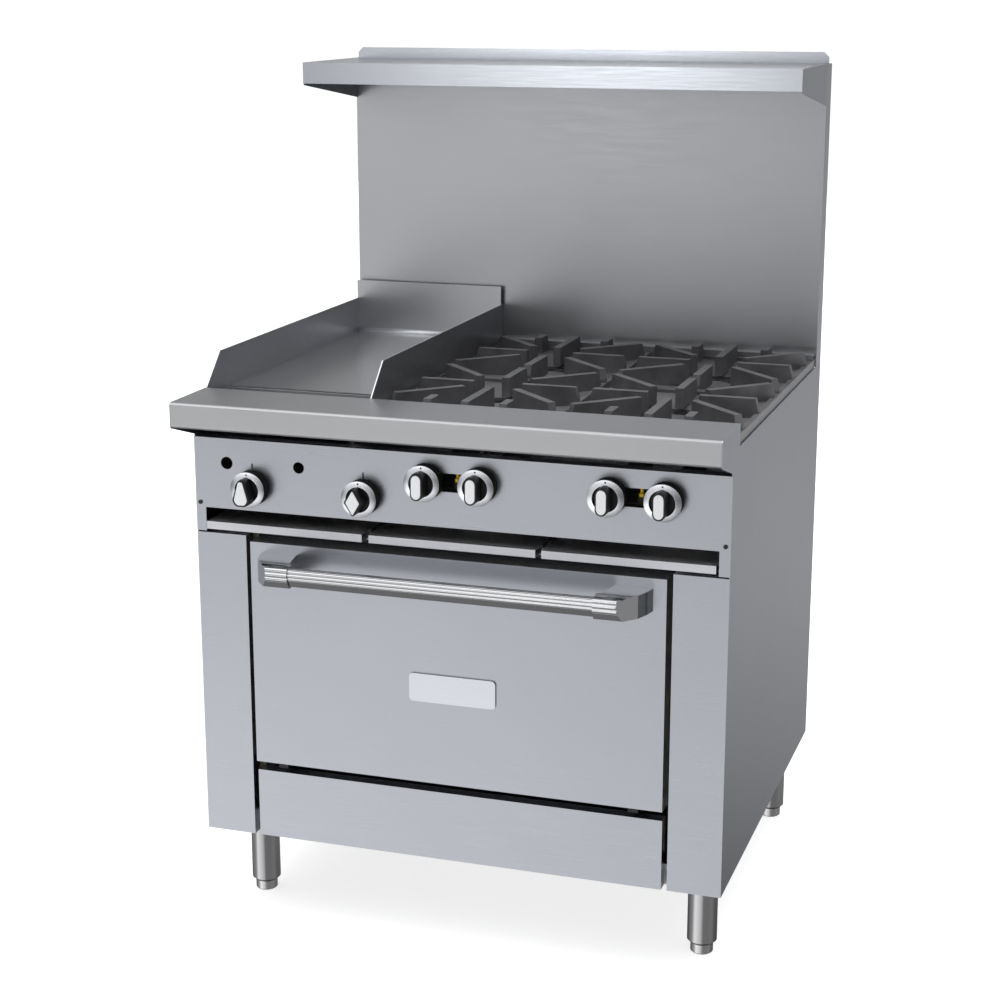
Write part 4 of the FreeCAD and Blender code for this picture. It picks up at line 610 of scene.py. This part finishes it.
# What shiny surfaces see of the studio, by height: the sine of the elevation and the
# brightness there.
AHEAD = (
    (-1.0, 0.14),
    (-0.75, 0.35),
    (-0.45, 1.26),
    (-0.32, 0.98),
    (-0.22, 0.65),
    (-0.16, 0.36),
    (-0.09, 0.44),
    (0.04, 0.46),
    (0.2, 0.5),
    (0.33, 0.9),
    (0.48, 1.5),
    (0.7, 1.6),
    (1.0, 1.5),
)
BEHIND = (
    (-1.0, 0.3),
    (-0.6, 0.16),
    (-0.45, 0.13),
    (-0.34, 0.65),
    (-0.28, 0.97),
    (-0.2, 0.86),
    (-0.1, 0.66),
    (-0.03, 0.5),
    (0.04, 1.15),
    (0.2, 0.5),
    (0.5, 0.35),
    (0.75, 1.1),
    (1.0, 1.5),
)
BRIGHTEST = 2.5  # stands for 1 inside the height ramps

# How the studio changes along one axis of the direction: start, end, before, after.
FRONT_TO_BACK = (-0.5, 0.5, 0.0, 1.0)
RIGHT_SHADE = (0.05, 0.3, 1.0, 0.42)
LEFT_SHADE = (-0.9, -0.62, 0.2, 1.0)
SHADED_BELOW = (0.02, 0.15, 1.0, 0.0)
BACK_LEFT_SHADE = (-0.44, -0.24, 0.42, 1.06)

# The studio grows brighter towards the left, and never darker than LEAST_LEAN.
LEAN_SLOPE = -0.8
LEAN_MIDDLE = 0.74
LEAST_LEAN = 0.55

SOFTBOX = Vector((-0.26, -0.965, -0.01)).normalized()
SOFTBOX_FOCUS = 450.0
SOFTBOX_BRIGHTNESS = 4.8

# What matt surfaces get: a little from all round and most of it from overhead.
ALL_ROUND = 0.03
OVERHEAD = 3.8
OVERHEAD_FOCUS = 4.0
BACKDROP = 1.05  # what the camera sees

FOCAL_LENGTH = 72.87
SENSOR_WIDTH = 36
CAMERA_YAW, CAMERA_PITCH = 18.203, 14.403
CAMERA_PLACE = (1.0430, -3.2785, 1.5716)


def floor():
    """A pale floor that glows a little and stays out of the reflections."""
    mesh = bpy.data.meshes.new("floor")
    size = FLOOR_REACH
    corners = [(-size, -size, 0), (size, -size, 0), (size, size, 0), (-size, size, 0)]
    mesh.from_pydata(corners, [], [(0, 1, 2, 3)])
    plane = bpy.data.objects.new("floor", mesh)
    bpy.context.scene.collection.objects.link(plane)
    shader = Shader("floor", (0.55, 0.55, 0.55), 0.0, 0.9)
    shader.put("Emission Color", (1, 1, 1, 1))
    shader.put("Emission Strength", FLOOR_GLOW)
    shader.vary_color(shader.noise(2), 0.995, 1.005)
    mesh.materials.append(shader.material)
    plane.visible_glossy = False


def height_ramp(tree, height, stops):
    """Brightness, over BRIGHTEST, that follows the stops for a height from -1 to 1."""
    ramp = tree.nodes.new("ShaderNodeValToRGB")
    ramp.color_ramp.interpolation = "EASE"
    elements = ramp.color_ramp.elements
    while len(elements) < len(stops):
        elements.new(0.5)
    for element, (z, bright) in zip(elements, stops):
        element.position = (z + 1) / 2
        element.color = (*[bright / BRIGHTEST] * 3, 1)
    tree.links.new(math_node(tree, "MULTIPLY_ADD", height, 0.5, 0.5), ramp.inputs["Fac"])
    return ramp.outputs["Color"]


def studio():
    """A white studio, whose reflections have a bright front, a dim back and one softbox."""
    world = bpy.data.worlds.new("studio")
    world.use_nodes = True
    world.cycles.sampling_method = "NONE"
    bpy.context.scene.world = world
    tree = world.node_tree
    direction = tree.nodes.new("ShaderNodeTexCoord").outputs["Generated"]
    split = tree.nodes.new("ShaderNodeSeparateXYZ")
    tree.links.new(direction, split.inputs[0])
    x, y, z = split.outputs

    def across(value, spans):
        return map_range(tree, value, spans, "SMOOTHSTEP")

    def times(first, second):
        return math_node(tree, "MULTIPLY", first, second)

    def at_least(value, least):
        return math_node(tree, "MAXIMUM", value, least)

    behind = across(y, FRONT_TO_BACK)
    walls = choose(tree, behind, height_ramp(tree, z, AHEAD), height_ramp(tree, z, BEHIND))
    lean = at_least(math_node(tree, "MULTIPLY_ADD", x, LEAN_SLOPE, LEAN_MIDDLE), LEAST_LEAN)
    both_sides = times(across(x, LEFT_SHADE), across(x, RIGHT_SHADE))
    ahead_shade = choose(tree, across(z, SHADED_BELOW), 1.0, both_sides)
    shade = choose(tree, behind, ahead_shade, across(x, BACK_LEFT_SHADE))
    walls = times(walls, times(lean, shade))
    dot = tree.nodes.new("ShaderNodeVectorMath")
    dot.operation = "DOT_PRODUCT"
    dot.inputs[1].default_value = SOFTBOX
    tree.links.new(direction, dot.inputs[0])
    facing = at_least(dot.outputs["Value"], 0.0)
    lobe = math_node(tree, "POWER", facing, SOFTBOX_FOCUS)
    lobe = times(lobe, SOFTBOX_BRIGHTNESS / BRIGHTEST)
    reflected = times(math_node(tree, "ADD", walls, lobe), BRIGHTEST)
    upward = math_node(tree, "POWER", at_least(z, 0.0), OVERHEAD_FOCUS)
    lighting = math_node(tree, "MULTIPLY_ADD", upward, OVERHEAD, ALL_ROUND)
    path = tree.nodes.new("ShaderNodeLightPath")
    strength = choose(tree, path.outputs["Is Glossy Ray"], lighting, reflected)
    strength = choose(tree, path.outputs["Is Camera Ray"], strength, BACKDROP)
    background = tree.nodes["Background"]
    background.inputs["Color"].default_value = (1, 1, 1, 1)
    tree.links.new(strength, background.inputs["Strength"])


def camera():
    """The photograph's viewpoint."""
    data = bpy.data.cameras.new("camera")
    data.lens = FOCAL_LENGTH
    data.sensor_width = SENSOR_WIDTH
    yaw, pitch = math.radians(CAMERA_YAW), math.radians(CAMERA_PITCH)
    ahead = Vector(
        (-math.sin(yaw) * math.cos(pitch), math.cos(yaw) * math.cos(pitch), -math.sin(pitch))
    )
    eye = bpy.data.objects.new("camera", data)
    eye.location = CAMERA_PLACE
    eye.rotation_euler = ahead.to_track_quat("-Z", "Y").to_euler()
    bpy.context.scene.collection.objects.link(eye)
    bpy.context.scene.camera = eye


floor()
studio()
camera()
bpy.context.scene.view_settings.view_transform = "Standard"
